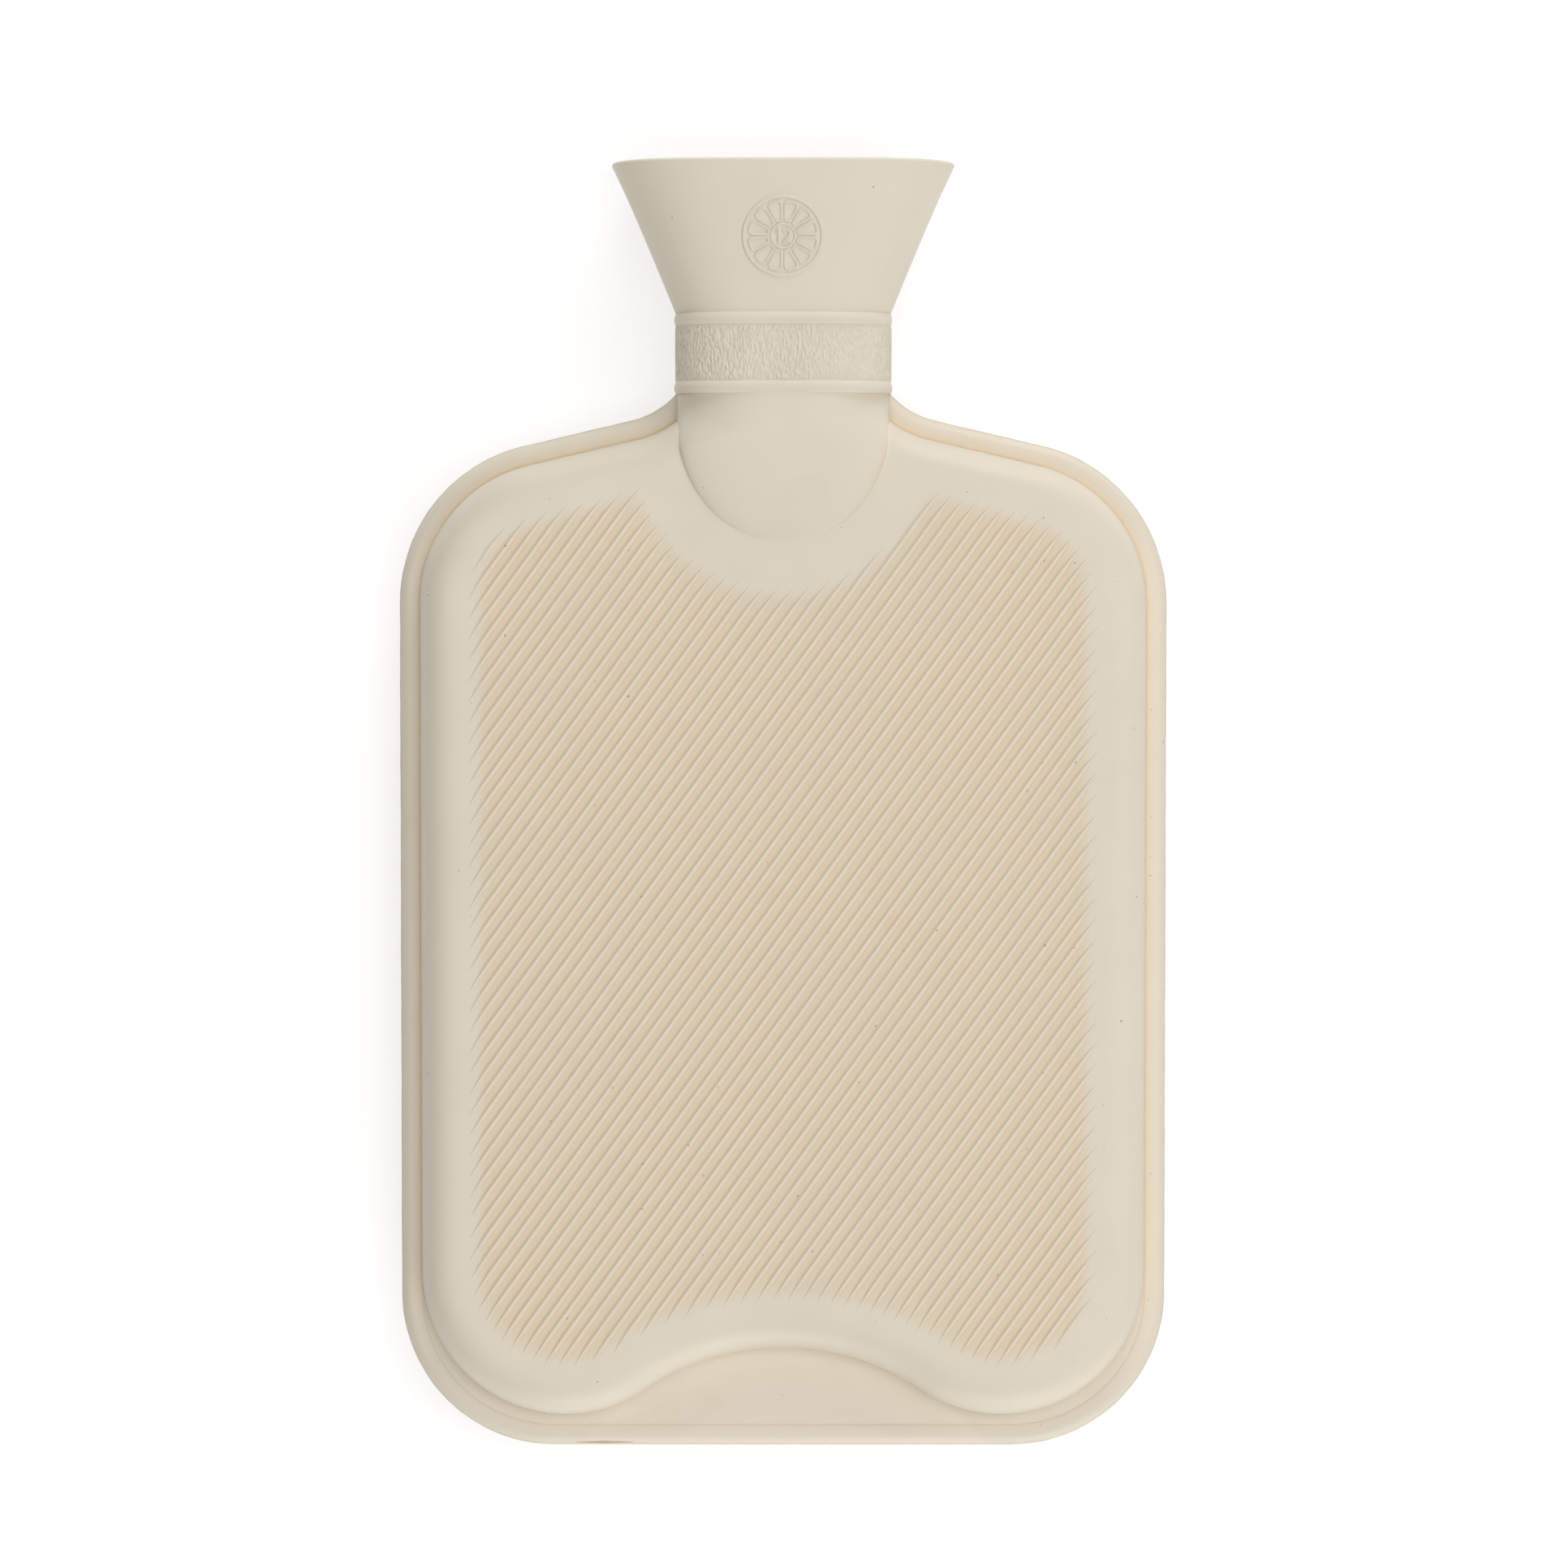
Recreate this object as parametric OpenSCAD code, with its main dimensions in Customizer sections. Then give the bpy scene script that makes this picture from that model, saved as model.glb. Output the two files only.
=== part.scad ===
// Rubber hot water bottle with a screw stopper, lying on its back.
// +X is the bottle's right, +Y points to its mouth and +Z out of its ribbed front.
// Inside the modules, y is measured up from the bottom edge and z from the seam between the two halves.

/* [Body] */
// Whole length, from the bottom edge to the rim of the funnel
bottle_length = 334.4; // [325:0.2:360]
// Width across the top corners
body_width = 200; // [190:1:215]
// Width across the bottom corners
foot_width = 198.8; // [188:0.2:215]
// Radius of the top corners
top_corner_radius = 42; // [36:1:48]
// Height of the top corners' centres above the bottom edge
corner_height = 219.5; // [200:0.5:226]
// Radius of the bottom corners
bottom_corner_radius = 40; // [36:1:46]
// Slope of the shoulders, in degrees
shoulder_slope = 13.3; // [10:0.1:16]
// Radius of the hollow fillet between shoulder and neck
neck_fillet_radius = 22; // [18:1:28]
// Thickness of the rubber in the body
wall = 2.2; // [1.6:0.1:3]

/* [Rim and web] */
// Width of the round bead along the seam
bead_width = 5.4; // [4:0.1:7]
// Height of each half of the bead
bead_height = 2.7; // [2:0.1:3.5]
// Thickness of each half of the flat web at the bottom
web_thickness = 1; // [0.6:0.1:1.6]
// Height of the web's arch above the bottom edge
web_rise = 25.4; // [20:0.2:32]
// Radius of the two lobes beside the web
lobe_radius = 37.5; // [34:0.5:42]
// Gap between the lobes and the bottom edge
lobe_gap = 8.2; // [6:0.1:12]

/* [Panels] */
// Height of the ribbed front plateau above the seam
front_depth = 17; // [14:0.5:19]
// Depth of the flat back below the seam
back_depth = 20; // [18.5:0.5:24]
// Width of the rolled edge between bead and plateau
roll_width = 13; // [9:0.5:15]

/* [Ribs] */
// Distance between neighbouring ribs
rib_pitch = 3.19; // [2.6:0.01:5]
// Angle of the ribs from the bottle's width, in degrees
rib_angle = 53.8; // [45:0.1:70]
// Width of a rib at its foot
rib_width = 1.5; // [1:0.1:2]
// Height of a rib
rib_height = 0.7; // [0.4:0.1:1.2]
// Length of a rib's pointed end
rib_taper = 9; // [4:0.5:14]
// Smooth margin between the panel's edge and the ribs
rib_margin = 13.3; // [10:0.1:18]
// Smooth gap between the tongue and the ribs
rib_notch = 14.2; // [8:0.1:20]

/* [Neck and collar] */
// Width of the neck and of its tongue on the front
neck_width = 55.2; // [50:0.2:58]
// Height of the neck's front above the seam
neck_depth = 20.3; // [19.5:0.1:22]
// How far the tongue's tip stands proud of the front plateau
tongue_step = 0.9; // [0.5:0.1:1.5]
// Height of the tongue's round end above the bottom edge, at its centre
tongue_height = 262.6; // [256:0.2:266]
// Height of the collar's lower edge above the bottom edge
collar_height = 273.6; // [270:0.2:280]
// Length of the collar with its two beads
collar_length = 21; // [19:0.2:24]
// Length of each raised bead of the collar
collar_bead = 3.3; // [2.6:0.1:4]
// How far the collar's beads stand proud
collar_bead_step = 0.7; // [0.4:0.1:0.8]

/* [Funnel] */
// Width of the funnel where it leaves the collar
funnel_foot_width = 57.4; // [55:0.2:62]
// Width of the funnel just below its lip
funnel_width = 84.4; // [76:0.2:90]
// Width of the funnel's lip
mouth_width = 89.2; // [82:0.2:96]
// Height of the lip's front above the seam
mouth_depth = 23; // [21:0.5:26]
// Length of the flared lip
lip_length = 5; // [3:0.5:8]
// Thickness of the funnel's rubber
funnel_wall = 2.6; // [2:0.1:3]

/* [Neck bush] */
// Outer diameter of the bush
bush_diameter = 29; // [27:0.5:31]
// Diameter of the bush's bore, over the thread's crests
bush_bore = 21.4; // [19:0.1:23]
// Width of the ribs that hold the bush in the rubber
bush_rib = 1.6; // [1:0.1:2]

/* [Stopper] */
// Thickness of the washer
washer_thickness = 2.5; // [1.5:0.1:3.5]
// Width of the washer's ring
washer_width = 3; // [2:0.1:3.4]
// Thickness of the stopper's flange
flange_thickness = 3.4; // [2.5:0.1:5]
// How far the flange reaches past the washer
flange_overhang = 0.8; // [0.2:0.1:1]
// Length of the threaded shank below the flange
shank_length = 19.5; // [14:0.5:21]
// Diameter of the socket that holds the grip
socket_diameter = 12; // [9:0.5:13]
// Depth of the socket
socket_depth = 9; // [6:0.5:11]
// Radius of the grip's ring, to the middle of its round section
ring_radius = 10.8; // [9.5:0.1:11]
// Thickness of the grip's ring
ring_thickness = 7; // [5:0.5:8]

/* [Hidden] */

rubber = [0.85, 0.81, 0.74];
bush_brass = [0.72, 0.6, 0.35];
stopper_plastic = [0.9, 0.88, 0.82];
washer_rubber = [0.32, 0.3, 0.28];

// Steps along each arc of an outline, round the tongue's end, up a rolled edge and round half an oval
arc_steps = 9;
tongue_steps = 15;
roll_steps = 6;
oval_steps = 22;
round_steps = 48;

// How full the rolled edge and the neck's oval are: 2 is an ellipse and higher is squarer
roll_fullness = 2.5;
oval_fullness = 2.6;

// Thickness of the slices that a hull joins, the lip's rounding, and the collar's extra width on each side
thin = 0.5;
lip_round = 0.8;
collar_swell = 0.3;

// How far shapes reach into each other where they join
lap = 0.7;

// Tongue: how far its edge is sunk in the panel, how far its section turns towards
// its crest, and the length over which its sides come out of the rim
tongue_sink = 0.4;
tongue_sweep = 85;
tongue_run_in = 4;

// Share of the tongue's width that the neck's passage has at its lower end
tip_share = 0.72;

// Rib: how deep its foot is sunk, share of its width left at the ridge, and least length of its ridge
rib_sink = 0.2;
ridge_share = 0.4;
least_ridge = 1;

// Share of the funnel's growth in depth that is reached below the lip
flare_share = 0.85;

// Length over which the neck's passage narrows to the bush
throat_length = 4;

// Bush: how far its foot and its top stand above the collar's two edges, thickness of its seat,
// place and length of its holding rib, and the rib's bevel
bush_foot_rise = 0.6;
bush_top_rise = 0.4;
bush_seat = 2.4;
bush_rib_height = 5;
bush_rib_length = 3;
bush_bevel = 0.5;

// Clearances: bush in the rubber, shank in the bush, washer on the shank and grip in its socket
bush_clearance = 0.12;
shank_clearance = 0.3;
washer_clearance = 0.2;
socket_clearance = 0.05;
socket_end_gap = 0.5;

// How far the back of the collar's beads stays clear of the ground
bead_clearance = 0.1;

// Grip: overhang and thickness of the disc that rests on the screw, and taper of the stem above it
disc_overhang = 1.6;
disc_thickness = 1.5;
stem_taper = 1.5;

// Edges of the turned pieces
washer_edge = 0.4;
flange_edge = 0.8;
shank_chamfer = 2;

// Side of the body: a line that touches the top and the bottom corner
top_corner = [body_width / 2 - top_corner_radius, corner_height];
bottom_corner = [foot_width / 2 - bottom_corner_radius, bottom_corner_radius];
corner_line = top_corner - bottom_corner;
side_angle = atan2(corner_line.y, corner_line.x)
    - acos((bottom_corner_radius - top_corner_radius) / norm(corner_line));
side_normal = [cos(side_angle), sin(side_angle)];

// Shoulder, and the fillet that touches it and meets the neck at the collar's lower edge
shoulder_angle = 90 - shoulder_slope;
shoulder_normal = [cos(shoulder_angle), sin(shoulder_angle)];
shoulder_along = [shoulder_normal.y, -shoulder_normal.x];
neck_foot = [neck_width / 2, collar_height + lap];
fillet_drop = shoulder_normal * (top_corner - neck_foot) + top_corner_radius + neck_fillet_radius;
fillet_reach = sqrt(max(0, neck_fillet_radius ^ 2 - fillet_drop ^ 2));
fillet_centre = neck_foot + fillet_drop * shoulder_normal + fillet_reach * shoulder_along;
fillet_start = shoulder_angle + 180;
fillet_sweep = 42;

// Bottom of the panel: a lobe in each corner, joined by the web's arch
lobe_height = lobe_gap + lobe_radius;
lobe_reach = side_normal * bottom_corner + bottom_corner_radius - bead_width - lobe_radius;
lobe_centre = [(lobe_reach - side_normal.y * lobe_height) / side_normal.x, lobe_height];
lobe_rise = lobe_height - web_rise;
web_radius = (lobe_centre.x ^ 2 + lobe_rise ^ 2 - lobe_radius ^ 2) / (2 * (lobe_radius - lobe_rise));
web_centre = [0, web_rise - web_radius];
web_angle = atan2(lobe_centre.y - web_centre.y, lobe_centre.x);

// Tongue, collar, funnel and the pieces in the mouth
tongue_radius = neck_width / 2;
tongue_tip = tongue_height - tongue_radius;
back_neck_depth = back_depth - collar_bead_step - bead_clearance;
back_tongue_step = -0.3;
collar_top = collar_height + collar_length;
lip_height = bottle_length - lip_length;
bush_top = collar_top + bush_top_rise;
bush_foot = collar_height + bush_foot_rise;
washer_bore = bush_bore - 2 * (shank_clearance - washer_clearance);
washer_outside = washer_bore + 2 * washer_width;
shank_diameter = bush_bore - 2 * shank_clearance;
flange_foot = bush_top + washer_thickness;
flange_diameter = washer_outside + 2 * flange_overhang;
flange_top = flange_foot + flange_thickness;
ring_height = flange_top + ring_radius + ring_thickness / 2;

// Points of an arc about a centre, from one angle to another
function arc(centre, radius, from, to) =
    [for (i = [0 : arc_steps])
        let (angle = from + (to - from) * i / arc_steps)
        centre + radius * [cos(angle), sin(angle)]];

// A closed outline, counter-clockwise, from its right half, which starts at the bottom
function both_sides(half) =
    concat(half, [for (i = [len(half) - 1 : -1 : 0]) if (half[i].x > 0.001) [-half[i].x, half[i].y]]);

// Top corner, shoulder and fillet of the body, drawn in by the inset
function shoulder(inset) = concat(
    arc(top_corner, top_corner_radius - inset, side_angle, shoulder_angle),
    arc(fillet_centre, neck_fillet_radius + inset, fillet_start, fillet_start - fillet_sweep));

// Outline of the rim, drawn in by the inset
function rim_outline(inset) = both_sides(concat(
    arc(bottom_corner, bottom_corner_radius - inset, -90, side_angle),
    shoulder(inset)));

// Outline of the panel inside the bead, drawn in by the inset
function panel_outline(inset) = both_sides(concat(
    arc(web_centre, web_radius + inset, 90, web_angle),
    arc(lobe_centre, lobe_radius - inset, web_angle - 180, side_angle),
    shoulder(bead_width + inset)));

// How high a rolled edge has risen, from 0 to 1, at a share of its width
function roll(share) =
    let (left = 1 - min(1, max(0, share)))
    (1 - left ^ roll_fullness) ^ (1 / roll_fullness);

// Share of a rolled edge's width at each step, with the steps closest where it is steepest
function roll_share(i) = 1 - cos(90 * i / roll_steps) ^ (2 / roll_fullness);

// Upper half of an oval that is flatter than an ellipse
function half_oval(half_width, height) =
    [for (i = [0 : oval_steps])
        let (angle = 180 * i / oval_steps, across = cos(angle), up = sin(angle))
        [sign(across) * half_width * abs(across) ^ (2 / oval_fullness),
            height * up ^ (2 / oval_fullness)]];

// Solid between outlines of equally many points, each given as [outline, height]
module loft(rings) {
    count = len(rings[0][0]);
    points = [for (ring = rings) each [for (p = ring[0]) [p.x, p.y, ring[1]]]];
    foot = [for (i = [0 : count - 1]) i];
    top = [for (i = [count - 1 : -1 : 0]) (len(rings) - 1) * count + i];
    sides = [for (r = [0 : len(rings) - 2], i = [0 : count - 1])
        let (a = r * count + i, b = r * count + (i + 1) % count)
        each [[a, a + count, b + count], [a, b + count, b]]];
    polyhedron(points, concat([foot, top], sides));
}

// Slice of the neck or funnel: half an oval, square to the bottle's length
module slice(height, thickness, half_width, depth) {
    translate([0, height + thickness, 0])
        rotate([90, 0, 0])
            linear_extrude(thickness) polygon(half_oval(half_width, depth));
}

// Bead along the seam, and the flat web that fills it
module rim_and_web() {
    loft([for (angle = [180 : -30 : 0])
        let (foot = angle > 90 ? 0 : web_thickness)
        [rim_outline(bead_width / 2 * (1 + cos(angle))), foot + (bead_height - foot) * sin(angle)]]);
}

// Pillow of the panel: a rolled edge round a flat plateau, drawn in by the inset
module pillow(depth, inset, below) {
    width = roll_width - inset;
    loft(concat(
        below > 0 ? [[panel_outline(inset), -below]] : [],
        [for (i = [0 : roll_steps])
            [panel_outline(inset + width * roll_share(i)), depth * roll(roll_share(i))]]));
}

// Outline of the tongue at a share of its radius, from the collar round its end and back
function tongue_outline(share) =
    let (top = collar_height + collar_bead / 2, radius = tongue_radius * share)
    let (sides = [top, collar_height - tongue_run_in, neck_edge, neck_edge - lap, tongue_height + lap])
    concat(
        [for (y = sides) [-radius, y]],
        [for (i = [0 : tongue_steps])
            let (angle = 180 + 180 * i / tongue_steps)
            [radius * cos(angle), tongue_height + radius * sin(angle)]],
        [for (i = [len(sides) - 1 : -1 : 0]) [radius, sides[i]]]);

// Height at which the bead's inner edge meets the side of the neck
neck_edge = fillet_centre.y - sqrt(max(1, (neck_fillet_radius + bead_width) ^ 2
    - (fillet_centre.x - tongue_radius) ^ 2));

// Height of the panel beside the tongue, sunk a little so that the tongue cuts into it
function panel_height(p, depth) =
    let (inset = norm([abs(p.x), p.y] - fillet_centre) - neck_fillet_radius - bead_width)
    p.y > neck_edge ? 0 : max(0, depth * roll(inset / roll_width) - tongue_sink);

// Tongue: the neck's end, which runs down onto the panel and fades at its tip
module tongue(panel_depth, depth, step) {
    edge = tongue_outline(1);
    count = len(edge);
    function crest(y) =
        let (share = min(1, (y - tongue_tip) / (collar_height - tongue_tip)))
        panel_depth + step + (depth - panel_depth - step) * share;
    points = concat(
        [for (p = edge) [p.x, p.y, 0]],
        [for (r = [0 : roll_steps])
            let (turn = tongue_sweep * r / roll_steps)
            let (outline = tongue_outline(cos(turn) ^ (2 / oval_fullness)))
            let (rise = sin(turn) ^ (2 / oval_fullness))
            each [for (i = [0 : count - 1])
                let (low = panel_height(edge[i], panel_depth))
                [outline[i].x, outline[i].y, low + (crest(outline[i].y) - low) * rise]]]);
    foot = [for (i = [0 : count - 1]) i];
    sides = [for (r = [0 : roll_steps], i = [0 : count - 1])
        let (a = r * count + i, b = r * count + (i + 1) % count)
        each [[a, a + count, b + count], [a, b + count, b]]];
    last = (roll_steps + 1) * count;
    lid = [for (i = [0 : floor(count / 2) - 1])
        let (a = last + i, b = last + i + 1, c = last + count - 2 - i, d = last + count - 1 - i)
        each b < c ? [[a, d, c], [a, c, b]] : b == c ? [[a, d, b]] : []];
    polyhedron(points, concat([foot], sides, lid));
}

// Raised bead round the collar, with a half-round section
module collar_ring(height, half_width, depth) {
    hull() for (turn = [10, 50, 90]) {
        step = collar_bead_step * sin(turn);
        length = max(thin, collar_bead * cos(turn));
        slice(height + (collar_bead - length) / 2, length, half_width + step, depth + step);
    }
}

// Collar with its two beads, and the funnel with its flared lip
module collar_and_funnel(depth, lip_depth) {
    band = tongue_radius + collar_swell;
    near_lip = depth + (lip_depth - depth) * flare_share;
    slice(collar_height, collar_length, band, depth);
    collar_ring(collar_height, band, depth);
    collar_ring(collar_top - collar_bead, band, depth);
    hull() {
        slice(collar_top - thin, thin, funnel_foot_width / 2, depth);
        slice(lip_height - thin, thin, funnel_width / 2, near_lip);
    }
    hull() {
        slice(lip_height - 2 * lap, thin, funnel_width / 2 - lap, near_lip - lap);
        slice(bottle_length - lip_round - thin, thin, mouth_width / 2, lip_depth);
        slice(bottle_length - thin, thin, mouth_width / 2 - lip_round, lip_depth - lip_round);
    }
}

// Inside of the funnel, down to the floor round the bush
module funnel_space(depth, lip_depth) {
    near_lip = depth + (lip_depth - depth) * flare_share;
    hull() {
        slice(bush_top, thin, funnel_foot_width / 2 - funnel_wall, depth - funnel_wall);
        slice(lip_height - thin, thin, funnel_width / 2 - funnel_wall, near_lip - funnel_wall);
    }
    hull() {
        slice(lip_height - 2 * lap, thin,
            funnel_width / 2 - funnel_wall - lap, near_lip - funnel_wall - lap);
        slice(bottle_length - lip_round, thin, mouth_width / 2 - funnel_wall, lip_depth - funnel_wall);
        slice(bottle_length + lip_round, thin,
            mouth_width / 2 - funnel_wall + lip_round, lip_depth - funnel_wall + lip_round);
    }
}

// Passage from the water space up the neck, which narrows to the bush
module neck_space(panel_depth, depth) {
    passage = tongue_radius - funnel_wall - lap;
    throat = bush_diameter / 2 - lap;
    hull() {
        slice(tongue_tip, thin, tongue_radius * tip_share, panel_depth - wall - lap);
        slice(bush_foot - throat_length, thin, passage, depth - funnel_wall);
    }
    hull() {
        slice(bush_foot - throat_length, thin, passage - lap, depth - funnel_wall - lap);
        slice(bush_foot + lap - thin, thin, throat, throat);
    }
}

// Half profile of the bush: a tube with a wide seat at its top and a holding rib lower down
function bush_profile(clearance) =
    let (inner = clearance > 0 ? 0 : bush_bore / 2)
    let (outer = bush_diameter / 2 + clearance, rib = outer + bush_rib)
    let (foot = bush_foot - clearance, top = bush_top + clearance)
    let (seat = bush_top - bush_seat - clearance)
    let (low = bush_foot + bush_rib_height - clearance, high = low + bush_rib_length + 2 * clearance)
    [[inner, foot], [outer, foot], [outer, low], [rib, low + bush_bevel], [rib, high - bush_bevel],
        [outer, high], [outer, seat], [rib + bush_bevel, seat], [rib + bush_bevel, top], [inner, top]];

// Turns a shape drawn round the z axis so that it stands round the bottle's length
module along_neck() {
    rotate([-90, 0, 0]) children();
}

// Straight rib with two pointed ends, whose foot is sunk into the plateau
module rib(length) {
    run_out = rib_taper * rib_sink / rib_height;
    foot = rib_width / 2;
    ridge = foot * ridge_share;
    points = concat(
        [[-run_out, 0, -rib_sink]],
        [for (x = [rib_taper, length - rib_taper])
            each [[x, -foot, -rib_sink], [x, foot, -rib_sink],
                [x, ridge, rib_height], [x, -ridge, rib_height]]],
        [[length + run_out, 0, -rib_sink]]);
    polyhedron(points, concat(
        [for (i = [0 : 3]) [0, 1 + i, 1 + (i + 1) % 4]],
        [for (i = [0 : 3]) [1 + i, 5 + i, 5 + (i + 1) % 4, 1 + (i + 1) % 4]],
        [for (i = [0 : 3]) [9, 5 + (i + 1) % 4, 5 + i]]));
}

// Ribs across the plateau, cut off at its smooth margin and round the tongue
module ribs(height) {
    along = [cos(rib_angle), sin(rib_angle)];
    across = [-along.y, along.x];
    field = panel_outline(rib_margin);
    middle = [0, (web_rise + tongue_height) / 2];
    notch_centre = [0, tongue_height];
    notch_radius = tongue_radius + rib_notch;
    reach = ceil(norm([body_width, bottle_length]) / 2 / rib_pitch);
    for (k = [-reach : reach]) {
        offset_across = across * middle + k * rib_pitch;
        crossings = [for (i = [0 : len(field) - 1])
            let (a = field[i], b = field[(i + 1) % len(field)])
            let (above = across * a - offset_across, below = across * b - offset_across)
            if (above * below < 0) along * (a + (b - a) * above / (above - below))];
        if (len(crossings) > 1) {
            first = min(crossings);
            last = max(crossings);
            miss = across * notch_centre - offset_across;
            half_cut = sqrt(max(0, notch_radius ^ 2 - miss ^ 2));
            cut = half_cut > 0 ? min(last, along * notch_centre - half_cut) : last;
            if (cut - first > 2 * rib_taper + least_ridge) {
                start = along * first + across * offset_across;
                translate([start.x, start.y, height]) rotate([0, 0, rib_angle]) rib(cut - first);
            }
        }
    }
}

// One half of the rubber, from the seam up
module half_shell(panel_depth, depth, lip_depth, step, ribbed) {
    difference() {
        union() {
            rim_and_web();
            pillow(panel_depth, 0, 0);
            tongue(panel_depth, depth, step);
            collar_and_funnel(depth, lip_depth);
            if (ribbed) ribs(panel_depth);
        }
        pillow(panel_depth - wall, wall, lap);
        neck_space(panel_depth, depth);
        funnel_space(depth, lip_depth);
        along_neck() rotate_extrude($fn = round_steps) polygon(bush_profile(bush_clearance));
    }
}

// Places a shape in the bottle's own frame, with the flat back on the ground
module in_frame() {
    translate([0, -bottle_length / 2, back_depth]) children();
}

module front_shell() {
    color(rubber) in_frame() half_shell(front_depth, neck_depth, mouth_depth, tongue_step, true);
}

module back_shell() {
    color(rubber) in_frame() mirror([0, 0, 1])
        half_shell(back_depth, back_neck_depth, back_depth, back_tongue_step, false);
}

// Threaded bush, held in the rubber behind the collar
module neck_bush() {
    color(bush_brass) in_frame() along_neck()
        rotate_extrude($fn = round_steps) polygon(bush_profile(0));
}

// Washer between the bush and the stopper's flange
module stopper_washer() {
    inner = washer_bore / 2;
    outer = washer_outside / 2;
    rim = outer - washer_edge;
    color(washer_rubber) in_frame() along_neck() rotate_extrude($fn = round_steps)
        polygon([[inner, bush_top], [rim, bush_top], [outer, bush_top + washer_edge],
            [outer, flange_foot - washer_edge], [rim, flange_foot], [inner, flange_foot]]);
}

// Screw of the stopper: a shank with a chamfered end, under a round flange with a socket
module stopper_screw() {
    shank = shank_diameter / 2;
    flange = flange_diameter / 2;
    socket = socket_diameter / 2;
    foot = flange_foot - shank_length;
    color(stopper_plastic) in_frame() along_neck() rotate_extrude($fn = round_steps)
        polygon([[0, foot], [shank - shank_chamfer, foot], [shank, foot + shank_chamfer],
            [shank, flange_foot], [flange, flange_foot],
            [flange, flange_top - flange_edge], [flange - flange_edge, flange_top],
            [socket, flange_top], [socket, flange_top - socket_depth], [0, flange_top - socket_depth]]);
}

// Grip of the stopper: a finger ring on a stem that plugs into the screw
module stopper_grip() {
    section = ring_thickness / 2;
    stem = socket_diameter / 2 - socket_clearance;
    stem_foot = flange_top - socket_depth + socket_end_gap;
    stem_top = ring_height - ring_radius;
    disc = stem + disc_overhang;
    color(stopper_plastic) in_frame() {
        translate([0, ring_height, 0]) rotate_extrude($fn = round_steps)
            translate([ring_radius, 0]) circle(section, $fn = round_steps);
        along_neck() rotate_extrude($fn = round_steps)
            polygon([[0, stem_foot], [stem, stem_foot], [stem, flange_top], [disc, flange_top],
                [disc, flange_top + disc_thickness], [stem - stem_taper, stem_top], [0, stem_top]]);
    }
}

front_shell();
back_shell();
neck_bush();
stopper_washer();
stopper_screw();
stopper_grip();
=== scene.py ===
"""Looks of a rubber hot water bottle with a screw stopper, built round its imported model.

The bottle lies on its back. x runs to its right, y to its mouth and z out of its ribbed front.
The functions that draw its outlines measure y up from the bottom edge and z from the seam.
"""

import math
from typing import NamedTuple

import bmesh
import bpy
import numpy as np
from bpy.props import FloatProperty, FloatVectorProperty, IntProperty, PointerProperty
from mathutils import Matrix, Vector


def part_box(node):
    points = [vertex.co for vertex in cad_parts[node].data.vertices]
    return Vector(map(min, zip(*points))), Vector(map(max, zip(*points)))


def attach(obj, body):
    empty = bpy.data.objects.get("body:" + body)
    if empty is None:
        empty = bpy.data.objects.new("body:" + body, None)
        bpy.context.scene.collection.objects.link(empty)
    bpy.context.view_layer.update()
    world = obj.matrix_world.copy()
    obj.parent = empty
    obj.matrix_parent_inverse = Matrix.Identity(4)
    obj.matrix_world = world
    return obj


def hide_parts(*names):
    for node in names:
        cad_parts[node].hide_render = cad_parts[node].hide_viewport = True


bl_info = {
    "name": "Rubber hot water bottle",
    "version": (1, 0, 0),
    "blender": (4, 5, 0),
    "location": "View3D > Sidebar > Bottle",
    "description": "Builds the visible pieces of a rubber hot water bottle round its frame",
    "category": "Add Mesh",
}

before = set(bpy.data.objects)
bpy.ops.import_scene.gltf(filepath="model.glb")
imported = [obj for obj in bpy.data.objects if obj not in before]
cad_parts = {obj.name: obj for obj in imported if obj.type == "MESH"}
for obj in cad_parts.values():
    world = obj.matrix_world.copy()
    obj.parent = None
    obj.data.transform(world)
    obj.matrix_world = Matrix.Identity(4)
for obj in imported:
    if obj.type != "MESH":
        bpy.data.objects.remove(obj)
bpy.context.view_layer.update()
RUBBER_LOW, RUBBER_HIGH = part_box("front_shell")
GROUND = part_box("back_shell")[0].z
BUSH_LOW, BUSH_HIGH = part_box("neck_bush")
WASHER_LOW, WASHER_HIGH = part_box("stopper_washer")
SCREW_LOW, SCREW_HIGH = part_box("stopper_screw")
GRIP_LOW, GRIP_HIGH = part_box("stopper_grip")

BOTTOM = RUBBER_LOW.y
SEAM = RUBBER_LOW.z
LENGTH = RUBBER_HIGH.y - BOTTOM

MM = 0.001

# Steps along an arc of an outline, along its straight sides and shoulders, up a rolled edge,
# round half an oval, round a turned piece and round the tongue
ARC_STEPS = 40
SIDE_STEPS = 60
SHOULDER_STEPS = 16
ROLL_STEPS = 26
OVAL_STEPS = 110
TURN_STEPS = 96
TONGUE_STEPS = 72

# How full the rolled edge and the neck's oval are: 2 is an ellipse and higher is squarer
ROLL_FULLNESS = 3.4
OVAL_FULLNESS = 3.4

# Share of a rib's width that its flat crest takes, and how hollow its flanks are: 1 is straight
CREST_SHARE = 0.25
FLANK_HOLLOW = 2.1

# How blunt the ribs' pointed ends are: 1 is a straight taper and lower is rounder
RIB_TAPER = 0.7

# How far shapes reach into each other where they join
LAP = 0.7 * MM


# Sizes and colours that a user would change

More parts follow.
